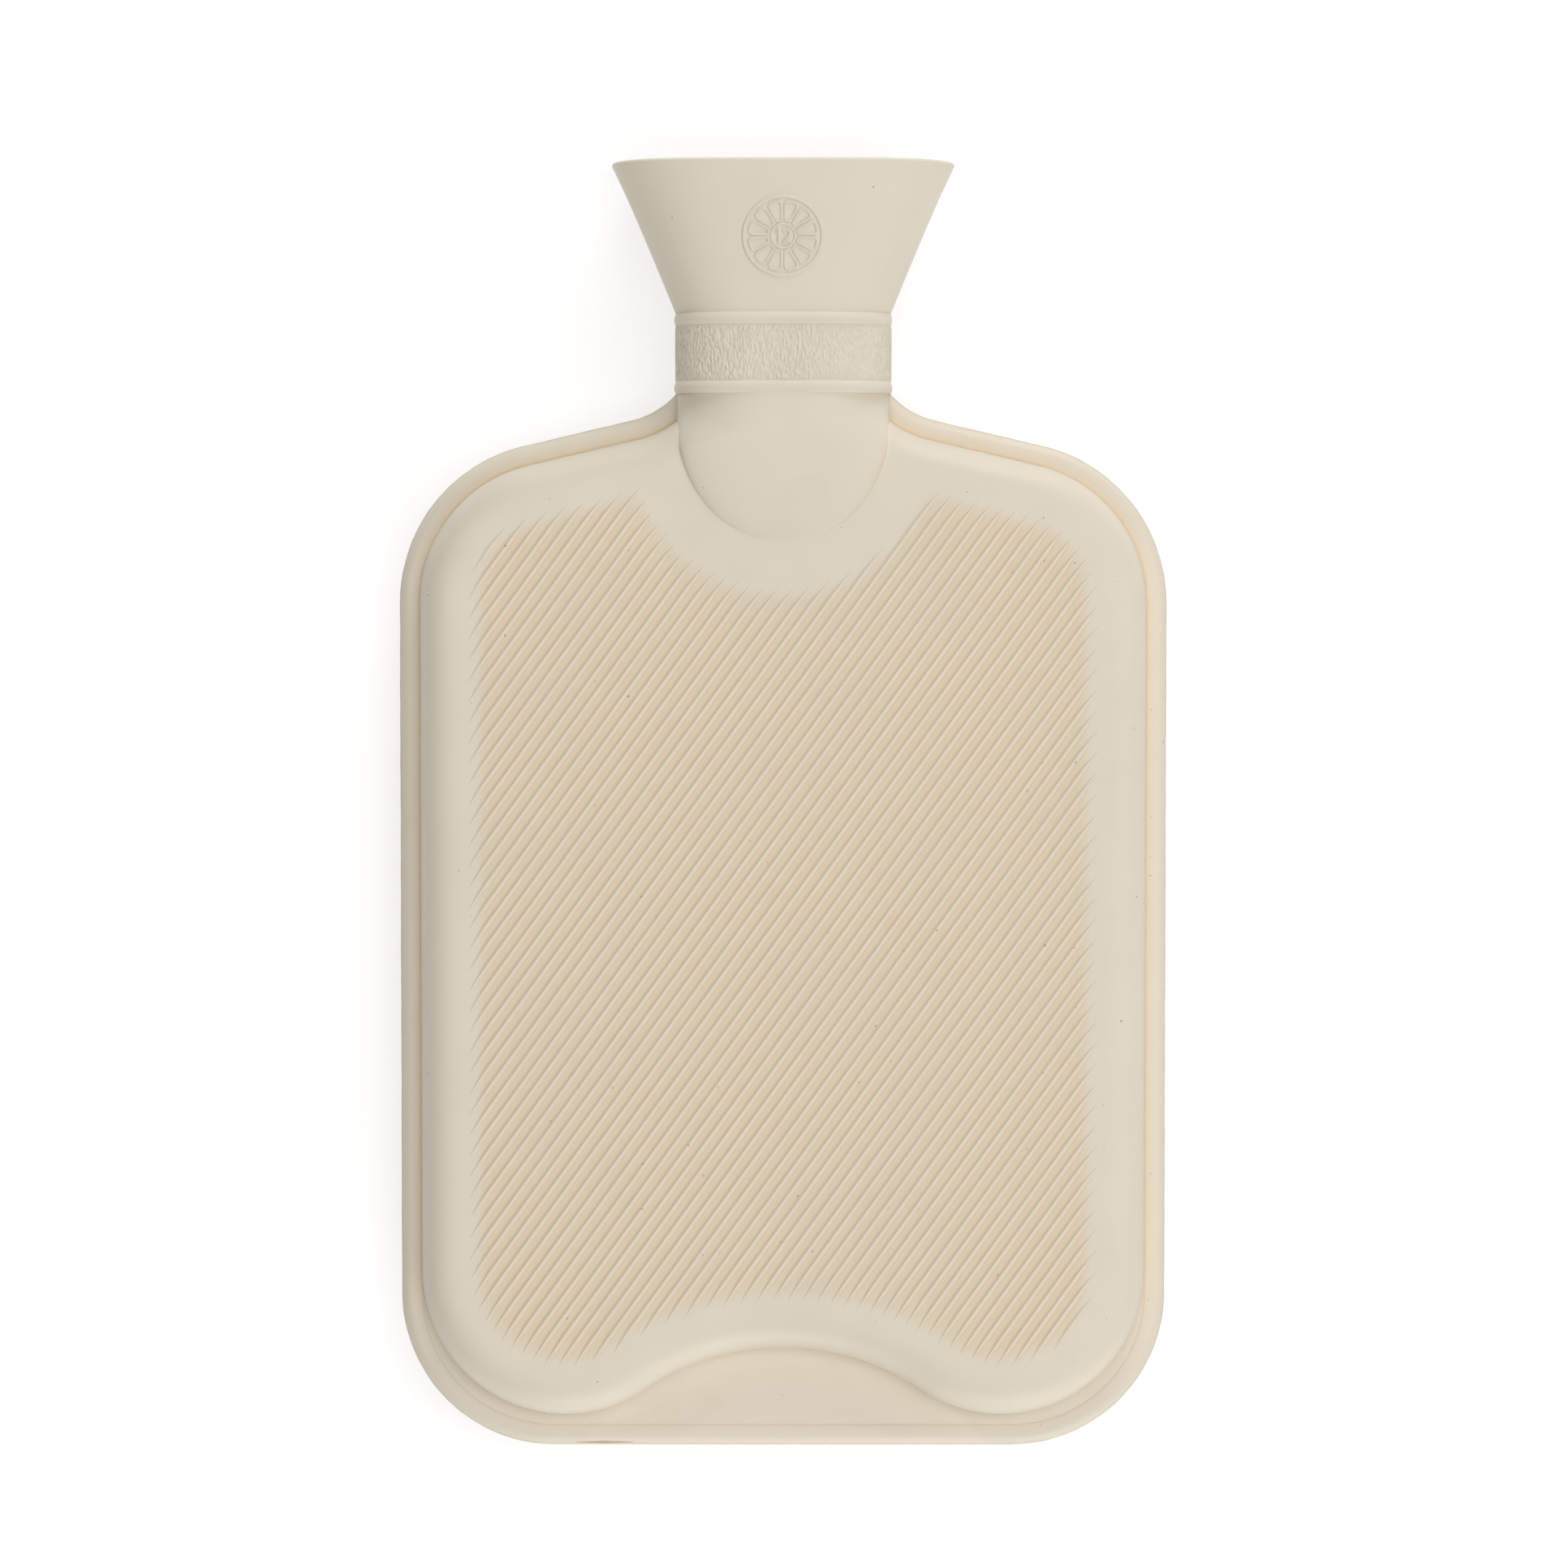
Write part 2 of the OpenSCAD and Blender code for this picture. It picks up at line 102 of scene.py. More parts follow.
class BottleSizes(bpy.types.PropertyGroup):
    """Sizes of the rubber"""
    length: FloatProperty(
        name="Length", description="From the bottom edge to the rim of the funnel",
        default=LENGTH, unit="LENGTH")
    width: FloatProperty(
        name="Width", description="Across the top corners",
        default=RUBBER_HIGH.x - RUBBER_LOW.x, unit="LENGTH")
    foot_width: FloatProperty(
        name="Foot width", description="Across the bottom corners", default=0.1988, unit="LENGTH")
    wall: FloatProperty(
        name="Wall", description="Thickness of the rubber", default=0.0022, unit="LENGTH")
    front_depth: FloatProperty(
        name="Front depth", description="Height of the ribbed plateau above the seam",
        default=0.017, unit="LENGTH")
    back_depth: FloatProperty(
        name="Back depth", description="Depth of the plain back below the seam",
        default=SEAM - GROUND, unit="LENGTH")
    bead_width: FloatProperty(
        name="Bead width", description="Width of the round bead along the seam",
        default=0.0054, unit="LENGTH")
    bead_height: FloatProperty(
        name="Bead height", description="Height of each half of the bead",
        default=0.0027, unit="LENGTH")
    roll_width: FloatProperty(
        name="Roll width", description="Width of the rolled edge between bead and plateau",
        default=0.013, unit="LENGTH")
    neck_width: FloatProperty(
        name="Neck width", description="Width of the neck and of its tongue",
        default=0.0552, unit="LENGTH")
    mouth_width: FloatProperty(
        name="Mouth width", description="Width of the funnel's rim", default=0.0892, unit="LENGTH")


class RibSizes(bpy.types.PropertyGroup):
    """Sizes of the slanted ribs"""
    pitch: FloatProperty(
        name="Pitch", description="Distance between neighbouring ribs",
        default=0.003165, unit="LENGTH")
    angle: FloatProperty(
        name="Slant", description="Angle of the ribs from the bottle's width",
        default=math.radians(53.9), unit="ROTATION")
    width: FloatProperty(
        name="Width", description="Width of a rib at its foot", default=0.0030, unit="LENGTH")
    height: FloatProperty(
        name="Height", description="Height of a rib", default=0.0004, unit="LENGTH")
    point: FloatProperty(
        name="Point", description="Length of a rib's pointed end", default=0.008, unit="LENGTH")
    margin: FloatProperty(
        name="Margin", description="Smooth margin between the panel's edge and the ribs",
        default=0.0127, unit="LENGTH")
    notch: FloatProperty(
        name="Notch", description="Smooth gap between the tongue and the ribs",
        default=0.0120, unit="LENGTH")


class DetailSizes(bpy.types.PropertyGroup):
    """Sizes of the small details"""
    grain_height: FloatProperty(
        name="Grain height", description="Height of the wrinkles on the collar",
        default=0.00033, unit="LENGTH")
    wheel_radius: FloatProperty(
        name="Wheel radius", description="Radius of the moulded dial on the funnel",
        default=0.0102, unit="LENGTH")
    wheel_cells: IntProperty(
        name="Wheel cells", description="Number of cells round the dial", default=12, min=3)
    line_width: FloatProperty(
        name="Line width", description="Width of the dial's raised lines",
        default=0.00062, unit="LENGTH")
    thread_pitch: FloatProperty(
        name="Thread pitch", description="Rise of the stopper in one turn",
        default=0.006, unit="LENGTH")
    flash_height: FloatProperty(
        name="Flash height", description="How far the parting flash stands out of the seam",
        default=0.0002, unit="LENGTH")


class BottleColours(bpy.types.PropertyGroup):
    """Colours of the finishes, and the light"""
    rubber: FloatVectorProperty(
        name="Rubber", description="Smooth natural rubber", subtype="COLOR", size=3,
        default=(0.672, 0.607, 0.492))
    # Painted shade: a warmer, darker rubber for the light that the ribs block and bounce into the
    # valleys
    painted_valley_shade: FloatVectorProperty(
        name="Valleys", description="Rubber between the ribs", subtype="COLOR", size=3,
        default=(0.664, 0.552, 0.398))
    # Painted highlight: a lighter rubber for the tops of the ribs
    crest: FloatVectorProperty(
        name="Crests", description="Rubber on the crests of the ribs", subtype="COLOR", size=3,
        default=(0.716, 0.616, 0.502))
    # Painted light: a paler rubber that lifts the shade on the low bead and the web
    pale: FloatVectorProperty(
        name="Low rubber", description="Pressed rubber of the bead and the web", subtype="COLOR",
        size=3, default=(0.740, 0.650, 0.525))
    # Painted shade: a brown rubber for the shade at the foot of the ribs
    painted_rib_foot_shade: FloatVectorProperty(
        name="Flanks", description="Rubber at the foot of the ribs", subtype="COLOR", size=3,
        default=(0.655, 0.490, 0.310))
    # Painted light: a golden rubber for the grooves, for light that shines through the thin rubber
    groove: FloatVectorProperty(
        name="Grooves", description="Rubber in the grooves, where light comes through it",
        subtype="COLOR", size=3, default=(0.88, 0.70, 0.47))
    # Dark rubber for real stains and the seam line; along the bead's outer edge it also stands for
    # painted shade, and the slit near the bottom edge is painted with it
    dirt_and_painted_light: FloatVectorProperty(
        name="Seam", description="Old rubber at the seam and in the slit", subtype="COLOR", size=3,
        default=(0.42, 0.31, 0.18))
    speck: FloatVectorProperty(
        name="Specks", description="Dust specks on the rubber", subtype="COLOR", size=3,
        default=(0.16, 0.13, 0.10))
    plastic: FloatVectorProperty(
        name="Stopper", description="Moulded stopper", subtype="COLOR", size=3,
        default=(0.72, 0.68, 0.58))
    brass: FloatVectorProperty(
        name="Bush", description="Threaded bush in the neck", subtype="COLOR", size=3,
        default=(0.66, 0.47, 0.20))
    washer: FloatVectorProperty(
        name="Washer", description="Sealing washer", subtype="COLOR", size=3,
        default=(0.060, 0.055, 0.050))
    overhead_power: FloatProperty(
        name="Overhead light", description="Power of the wide light above the camera",
        default=46.0, unit="POWER")
    right_power: FloatProperty(
        name="Right light", description="Power of the low light at the right",
        default=3.9, unit="POWER")
    strip_power: FloatProperty(
        name="Strip lights", description="Power of each low light beyond the mouth and the foot",
        default=14.0, unit="POWER")
    sky: FloatProperty(
        name="Room light", description="Strength of the light from all sides", default=0.28)


# Node trees: one wrapper for numbers, and one builder for every other node

class Number:
    """A number in a node tree, worked on with Python's own operators."""

    def __init__(self, graph, socket):
        self.graph = graph
        self.socket = socket

    def math(self, operation, *others, clamp=False):
        node = self.graph.node("ShaderNodeMath", {"operation": operation, "use_clamp": clamp},
                               [self, *others])
        return Number(self.graph, node.outputs[0])

    def __add__(self, other):
        return self.math("ADD", other)

    def __mul__(self, other):
        return self.math("MULTIPLY", other)

    __radd__ = __add__
    __rmul__ = __mul__

    def __sub__(self, other):
        return self.math("SUBTRACT", other)

    def __rsub__(self, other):
        return (self * -1) + other

    def __truediv__(self, other):
        return self.math("DIVIDE", other)

    def __rtruediv__(self, other):
        return (self * 0 + other).math("DIVIDE", self)

    def __pow__(self, other):
        return self.math("POWER", other)

    def __abs__(self):
        return self.math("ABSOLUTE")

    def __neg__(self):
        return self * -1

    def least(self, other):
        return self.math("MINIMUM", other)

    def most(self, other):
        return self.math("MAXIMUM", other)

    def rise(self, low, high):
        """0 up to low, 1 from high on, and a smooth step between them."""
        node = self.graph.node(
            "ShaderNodeMapRange", {"interpolation_type": "SMOOTHSTEP"},
            {"Value": self, "From Min": low, "From Max": high})
        return Number(self.graph, node.outputs["Result"])


class Graph:
    """A node tree that is filled from code."""

    def __init__(self, tree):
        self.tree = tree

    def node(self, kind, settings=None, inputs=None):
        """Adds a node with its settings first, then the values or links of its sockets."""
        node = self.tree.nodes.new(kind)
        for name, value in (settings or {}).items():
            setattr(node, name, value)
        pairs = inputs.items() if isinstance(inputs, dict) else enumerate(inputs or [])
        for key, value in pairs:
            socket = node.inputs[key]
            if isinstance(value, Number):
                value = value.socket
            if isinstance(value, bpy.types.NodeSocket):
                self.tree.links.new(value, socket)
            else:
                socket.default_value = value
        return node

    def number(self, kind, output=0, settings=None, inputs=None):
        """Adds a node and gives one of its outputs as a number."""
        return Number(self, self.node(kind, settings, inputs).outputs[output])

    def vector(self, x, y, z):
        return self.node("ShaderNodeCombineXYZ", inputs=[x, y, z]).outputs[0]

    def mix(self, factor, one, other):
        """Colour between one and other."""
        node = self.node("ShaderNodeMix", {"data_type": "RGBA"},
                         {"Factor": factor, 6: colour(one), 7: colour(other)})
        return node.outputs[2]


def colour(value):
    """A colour socket as it is, or three numbers with a full alpha."""
    return value if isinstance(value, bpy.types.NodeSocket) else (*value, 1.0)


def material_graph(name):
    """A new material with an empty graph and a Principled shader on its output."""
    material = bpy.data.materials.new(name)
    material.use_nodes = True
    material.node_tree.nodes.clear()
    graph = Graph(material.node_tree)
    shader = graph.node("ShaderNodeBsdfPrincipled")
    output = graph.node("ShaderNodeOutputMaterial")
    graph.tree.links.new(shader.outputs[0], output.inputs[0])
    return material, graph, shader


def feed(graph, shader, **sockets):
    """Sets or links the shader's sockets, whose names are given with _ for a space."""
    for name, value in sockets.items():
        socket = shader.inputs[name.replace("_", " ")]
        if isinstance(value, Number):
            value = value.socket
        if isinstance(value, bpy.types.NodeSocket):
            graph.tree.links.new(value, socket)
        else:
            socket.default_value = value


# Outlines of the rubber

def arc(centre, radius, start, end, steps=ARC_STEPS):
    """Points of an arc from one angle to another, in radians."""
    angles = np.linspace(start, end, steps + 1)
    return np.stack([centre[0] + radius * np.cos(angles), centre[1] + radius * np.sin(angles)], 1)


def bridged(one, other, steps=SIDE_STEPS):
    """Two parts of an outline with points along the straight stretch between them."""
    shares = np.linspace(0, 1, steps + 1)[1:-1, None]
    return np.concatenate([one, one[-1] + (other[0] - one[-1]) * shares, other])


def both_sides(half):
    """A closed outline, counter-clockwise, from its right half, which starts at the bottom."""
    left = half[half[:, 0] > 1e-6][::-1] * [-1, 1]
    return np.concatenate([half, left])


def roll(share):
    """How high a rolled edge has risen, from 0 to 1, at a share of its width."""
    left = 1 - np.clip(share, 0, 1)
    return (1 - left ** ROLL_FULLNESS) ** (1 / ROLL_FULLNESS)


def half_oval(half_width, depth, steps=OVAL_STEPS):
    """Upper half of an oval that is flatter than an ellipse, from right to left."""
    angles = np.linspace(0, math.pi, steps + 1)
    across = np.cos(angles)
    up = np.clip(np.sin(angles), 0, 1)
    x = np.sign(across) * half_width * np.abs(across) ** (2 / OVAL_FULLNESS)
    return np.stack([x, depth * up ** (2 / OVAL_FULLNESS)], 1)


def even(points, spacing):
    """The same line with points at an even spacing."""
    steps = np.linalg.norm(np.diff(points, axis=0), axis=1)
    along = np.concatenate([[0], np.cumsum(steps)])
    wanted = np.linspace(0, along[-1], max(2, round(along[-1] / spacing) + 1))
    return np.stack([np.interp(wanted, along, points[:, i]) for i in range(points.shape[1])], 1)


class Half(NamedTuple):
    """Measures in which the front half and the back half differ."""
    facing: int
    panel_depth: float
    neck_depth: float
    lip_depth: float
    tongue_step: float
    bead_step: float


class Plan:
    """The bottle's outlines as they are seen from the front."""

    top_corner_radius = 42 * MM
    corner_height = 219.5 * MM
    bottom_corner_radius = 40 * MM
    shoulder_slope = math.radians(13.3)
    neck_fillet_radius = 22 * MM
    fillet_sweep = math.radians(42)
    web_rise = 25.4 * MM
    web_thickness = 2.4 * MM
    lobe_radius = 37.5 * MM
    lobe_gap = 8.2 * MM
    tongue_height = 266 * MM
    tongue_reach = 31 * MM
    tongue_sink = 0.25 * MM
    tongue_climb = 16 * MM
    tongue_fullness = 2.8
    tongue_swell = 0.3 * MM
    collar_height = 273.6 * MM
    collar_length = 21 * MM
    collar_bead = 3.3 * MM
    collar_bead_step = 0.5 * MM
    front_bead_step = 0.9 * MM
    collar_swell = 0.3 * MM
    funnel_foot_width = 56.0 * MM
    funnel_bend = 0.06
    funnel_wall = 2.6 * MM
    lip_round = 0.8 * MM
    rim_drop = 0.6 * MM
    throat_length = 4 * MM
    bush_clearance = 0.12 * MM
    slit_middle = -46.5 * MM
    slit_reach = 8 * MM

    def __init__(self, sizes):
        self.sizes = sizes
        self.top_corner = np.array([sizes.width / 2 - self.top_corner_radius, self.corner_height])
        self.bottom_corner = np.array(
            [sizes.foot_width / 2 - self.bottom_corner_radius, self.bottom_corner_radius])
        line = self.top_corner - self.bottom_corner
        lean = (self.bottom_corner_radius - self.top_corner_radius) / np.linalg.norm(line)
        self.side_angle = math.atan2(line[1], line[0]) - math.acos(lean)
        side_normal = np.array([math.cos(self.side_angle), math.sin(self.side_angle)])

        self.shoulder_angle = math.pi / 2 - self.shoulder_slope
        normal = np.array([math.cos(self.shoulder_angle), math.sin(self.shoulder_angle)])
        along = np.array([normal[1], -normal[0]])
        neck_foot = np.array([sizes.neck_width / 2, self.collar_height + LAP])
        drop = normal @ (self.top_corner - neck_foot) + self.top_corner_radius \
            + self.neck_fillet_radius
        reach = math.sqrt(self.neck_fillet_radius ** 2 - drop ** 2)
        self.fillet_centre = neck_foot + drop * normal + reach * along

        lobe_height = self.lobe_gap + self.lobe_radius
        lobe_reach = side_normal @ self.bottom_corner + self.bottom_corner_radius \
            - sizes.bead_width - self.lobe_radius
        self.lobe_centre = np.array(
            [(lobe_reach - side_normal[1] * lobe_height) / side_normal[0], lobe_height])
        rise = lobe_height - self.web_rise
        self.web_radius = (self.lobe_centre[0] ** 2 + rise ** 2 - self.lobe_radius ** 2) \
            / (2 * (self.lobe_radius - rise))
        self.web_centre = np.array([0, self.web_rise - self.web_radius])
        self.web_angle = math.atan2(lobe_height - self.web_centre[1], self.lobe_centre[0])

        self.tongue_radius = sizes.neck_width / 2
        self.tongue_tip = self.tongue_height - self.tongue_reach
        self.collar_top = self.collar_height + self.collar_length
        self.band_width = self.tongue_radius + self.collar_swell

    def shoulder(self, inset):
        """Top corner, shoulder and fillet of the body, drawn in by the inset."""
        start = self.shoulder_angle + math.pi
        corner = arc(self.top_corner, self.top_corner_radius - inset, self.side_angle,
                     self.shoulder_angle)
        fillet = arc(self.fillet_centre, self.neck_fillet_radius + inset, start,
                     start - self.fillet_sweep)
        return bridged(corner, fillet, SHOULDER_STEPS)

    def rim(self, inset):
        """Outline of the rim, drawn in by the inset."""
        corner = arc(self.bottom_corner, self.bottom_corner_radius - inset, -math.pi / 2,
                     self.side_angle)
        return both_sides(bridged(corner, self.shoulder(inset)))

    def panel(self, inset):
        """Outline of the panel inside the bead, drawn in by the inset."""
        lobe = np.concatenate([
            arc(self.web_centre, self.web_radius + inset, math.pi / 2, self.web_angle),
            arc(self.lobe_centre, self.lobe_radius - inset, self.web_angle - math.pi,
                self.side_angle)])
        return both_sides(bridged(lobe, self.shoulder(self.sizes.bead_width + inset)))

    def rib_field(self, ribs):
        """Outline of the ribbed field, with a notch round the tongue."""
        field = self.panel(ribs.margin)
        reach = np.array(self.notch_reach(ribs))
        offsets = (field - [0, self.tongue_height]) / reach
        inside = np.linalg.norm(offsets, axis=1) < 1
        first = int(np.argmax(inside))
        last = len(field) - int(np.argmax(inside[::-1]))
        start = math.atan2(offsets[first - 1, 1], offsets[first - 1, 0])
        notch = arc((0, 0), 1, start, -math.pi - start, 160) * reach + [0, self.tongue_height]
        return np.concatenate([field[:first], notch, field[last:]])

    def notch_reach(self, ribs):
        """How far the notch in the ribs reaches to the side and down from the tongue's middle."""
        return self.tongue_radius + ribs.notch, self.tongue_reach + ribs.notch

    def tongue(self, share):
        """Outline of the tongue at a share of its radius, down its left side and up its right."""
        radius = self.tongue_radius * share
        top = self.collar_height + self.collar_bead / 2
        sides = np.linspace(top, self.tongue_height, TONGUE_STEPS // 2 + 1)[:-1]
        left = np.stack([np.full(len(sides), -radius), sides], 1)
        tip = arc((0, 0), 1, math.pi, 2 * math.pi, TONGUE_STEPS)
        tip = tip * [radius, self.tongue_reach * share] + [0, self.tongue_height]
        return np.concatenate([left, tip, left[::-1] * [-1, 1]])

    def tongue_edge(self, points, depth):
        """Height of the tongue's edge, from the seam at the collar up to the plateau."""
        share = np.clip((self.collar_height - points[:, 1]) / self.tongue_climb, 0, 1)
        return (depth - self.tongue_sink) * share ** 2 * (3 - 2 * share)

    def neck(self, y, neck_depth, lip_depth, bead_step):
        """Half width and depth of the neck's outside at a height."""
        top = self.sizes.length - self.lip_round
        share = min(1, max(0, (y - self.collar_top) / (top - self.collar_top)))
        bend = share - self.funnel_bend * share * (1 - share)
        foot = self.funnel_foot_width / 2
        if y > self.collar_top:
            return (foot + (self.sizes.mouth_width / 2 - foot) * bend,
                    neck_depth + (lip_depth - neck_depth) * share)
        swell = 0
        for start in (self.collar_height, self.collar_top - self.collar_bead):
            if start <= y <= start + self.collar_bead:
                swell = abs(math.sin(math.pi * (y - start) / self.collar_bead)) ** 0.85
        return self.band_width + self.collar_bead_step * swell, neck_depth + bead_step * swell

    def front(self):
        """Measures of the front half."""
        return Half(1, self.sizes.front_depth, 20.3 * MM, 23 * MM, 0.9 * MM, self.front_bead_step)

    def back(self):
        """Measures of the back half, whose flat back the bottle lies on."""
        depth = self.sizes.back_depth
        neck_depth = depth - self.collar_bead_step - 0.1 * MM
        return Half(-1, depth, neck_depth, depth, -0.3 * MM, self.collar_bead_step)

    def lower_rim(self, points):
        """Lets the ends of the rim hang a little lower than its middle."""
        out = points.copy()
        reach = np.clip(np.abs(points[:, 0]) / (self.sizes.mouth_width / 2), 0, 1.05)
        near = np.clip((points[:, 1] - self.sizes.length) / (12 * MM) + 1, 0, 1)
        out[:, 1] -= self.rim_drop * reach ** 6 * near
        return out


# Meshes

def in_frame(points, facing=1):
    """Moves points from the outlines' measures into the row's frame; facing -1 is the back."""
    return np.stack([points[:, 0], points[:, 1] + BOTTOM, SEAM + facing * points[:, 2]], 1)


def new_piece(name, points, faces):
    """A new object with a mesh of these points and faces."""
    mesh = bpy.data.meshes.new(name)
    mesh.from_pydata([tuple(p) for p in points], [], [list(f) for f in faces])
    mesh.validate()
    piece = bpy.data.objects.new(name, mesh)
    bpy.context.scene.collection.objects.link(piece)
    return piece


def loft(name, rings, facing=1):
    """Closed solid between rings of equally many points, with a flat cap at each end."""
    count = len(rings[0])
    points = np.concatenate(rings)
    faces = []
    for r in range(len(rings) - 1):
        for i in range(count):
            a = r * count + i
            b = r * count + (i + 1) % count
            faces.append((a, b, b + count, a + count))
    last = (len(rings) - 1) * count
    faces.append(range(count - 1, -1, -1))
    faces.append(range(last, last + count))
    if facing < 0:
        faces = [list(face)[::-1] for face in faces]
    return new_piece(name, in_frame(points, facing), faces)


def outward(piece):
    """Turns every face of a closed mesh outwards."""
    work = bmesh.new()
    work.from_mesh(piece.data)
    bmesh.ops.remove_doubles(work, verts=work.verts, dist=1e-7)
    bmesh.ops.recalc_face_normals(work, faces=work.faces)
    work.to_mesh(piece.data)
    work.free()
    return piece


def flat_ring(outline, z):
    """An outline in the plan, at one height above the seam."""
    return np.column_stack([outline, np.full(len(outline), z)])


def cross_ring(y, half_width, depth, foot=0.0):
    """Half an oval across the neck at a height; foot is how far it reaches below the seam."""
    oval = half_oval(half_width, depth)
    if foot:
        oval = np.concatenate([oval, [[-half_width, -foot], [half_width, -foot]]])
    return np.column_stack([oval[:, 0], np.full(len(oval), y), oval[:, 1]])


def turned(name, profile, steps=TURN_STEPS):
    """Closed solid of revolution about the neck's axis, from a closed outline of (radius, y)."""
    angles = np.linspace(0, 2 * math.pi, steps, endpoint=False)
    profile = np.array(profile)
    radius = np.maximum(profile[:, 0], 0)
    count = len(profile)
    rings = [np.column_stack([radius * math.cos(a), profile[:, 1], radius * math.sin(a)])
             for a in angles]
    faces = []
    for r in range(steps):
        for i in range(count):
            j = (i + 1) % count
            s = (r + 1) % steps
            faces.append((r * count + i, r * count + j, s * count + j, s * count + i))
    return outward(new_piece(name, in_frame(np.concatenate(rings)), faces))


def settle(piece):
    """Makes the result of a piece's modifiers its own mesh, and removes them."""
    bpy.context.view_layer.update()
    graph = bpy.context.evaluated_depsgraph_get()
    result = bpy.data.meshes.new_from_object(piece.evaluated_get(graph))
    piece.modifiers.clear()
    old = piece.data
    piece.data = result
    bpy.data.meshes.remove(old)
    result.name = piece.name
    return piece


def combine(base, operation, tools):
    """Joins the tools to the base, or cuts them out of it, and deletes them."""
    for tool in tools:
        modifier = base.modifiers.new(operation.title(), "BOOLEAN")
        modifier.operation = operation
        modifier.solver = "MANIFOLD"
        modifier.object = tool
    settle(base)
    for tool in tools:
        bpy.data.objects.remove(tool)
    return base


def smooth(piece, degrees):
    """Shades a piece smooth, with an edge where its faces meet at more than this angle."""
    piece.data.shade_smooth()
    piece.data.set_sharp_from_angle(angle=math.radians(degrees))
    return piece


def weigh_normals(piece):
    """Lets large flat faces keep their own direction in the shading."""
    modifier = piece.modifiers.new("Normals", "WEIGHTED_NORMAL")
    modifier.mode = "FACE_AREA"
    modifier.keep_sharp = True
    modifier.weight = 50
    return settle(piece)


def nearness(points, lines, width):
    """1 on a line of the plan, falling to 0 with the distance from it."""
    found = np.full(len(points), np.inf)
    for start in range(0, len(points), 4000):
        part = points[start:start + 4000, None, :]
        found[start:start + 4000] = np.sqrt(((part - lines[None]) ** 2).sum(2).min(1))
    return np.exp(-(found / width) ** 2)


def mark(piece, name, values):
    """Stores one number at each vertex."""
    attribute = piece.data.attributes.new(name, "FLOAT", "POINT")
    attribute.data.foreach_set("value", np.asarray(values, np.float32))


def mark_small_faces(piece, name, values, largest):
    """Stores each vertex's number at the corners of the faces up to an area, and 0 at others."""
    mesh = piece.data
    corners = np.zeros(len(mesh.loops), np.int32)
    mesh.loops.foreach_get("vertex_index", corners)
    areas = np.zeros(len(mesh.polygons), np.float32)
    mesh.polygons.foreach_get("area", areas)
    counts = np.zeros(len(mesh.polygons), np.int32)
    mesh.polygons.foreach_get("loop_total", counts)
    small = np.repeat(areas < largest, counts)
    attribute = mesh.attributes.new(name, "FLOAT", "CORNER")
    attribute.data.foreach_set("value", (values[corners] * small).astype(np.float32))


def vertices(piece):
    """The places of a mesh's vertices."""
    flat = np.zeros(len(piece.data.vertices) * 3, np.float32)
    piece.data.vertices.foreach_get("co", flat)
    return flat.reshape(-1, 3)


def ready(piece, material, body, slot, *nodes):
    """Gives a finished piece its material and body, and hides the nodes that it stands for. The slot
    is not used.
    """
    piece.data.materials.clear()
    piece.data.materials.append(material)
    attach(piece, body)
    if nodes:
        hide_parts(*nodes)
    return piece


def finish_named(name):
    """A finish that an earlier step has made."""
    material = bpy.data.materials.get(name)
    if material is None:
        raise RuntimeError(f"the finish {name} has to be made first")
    return material


# Rubber halves

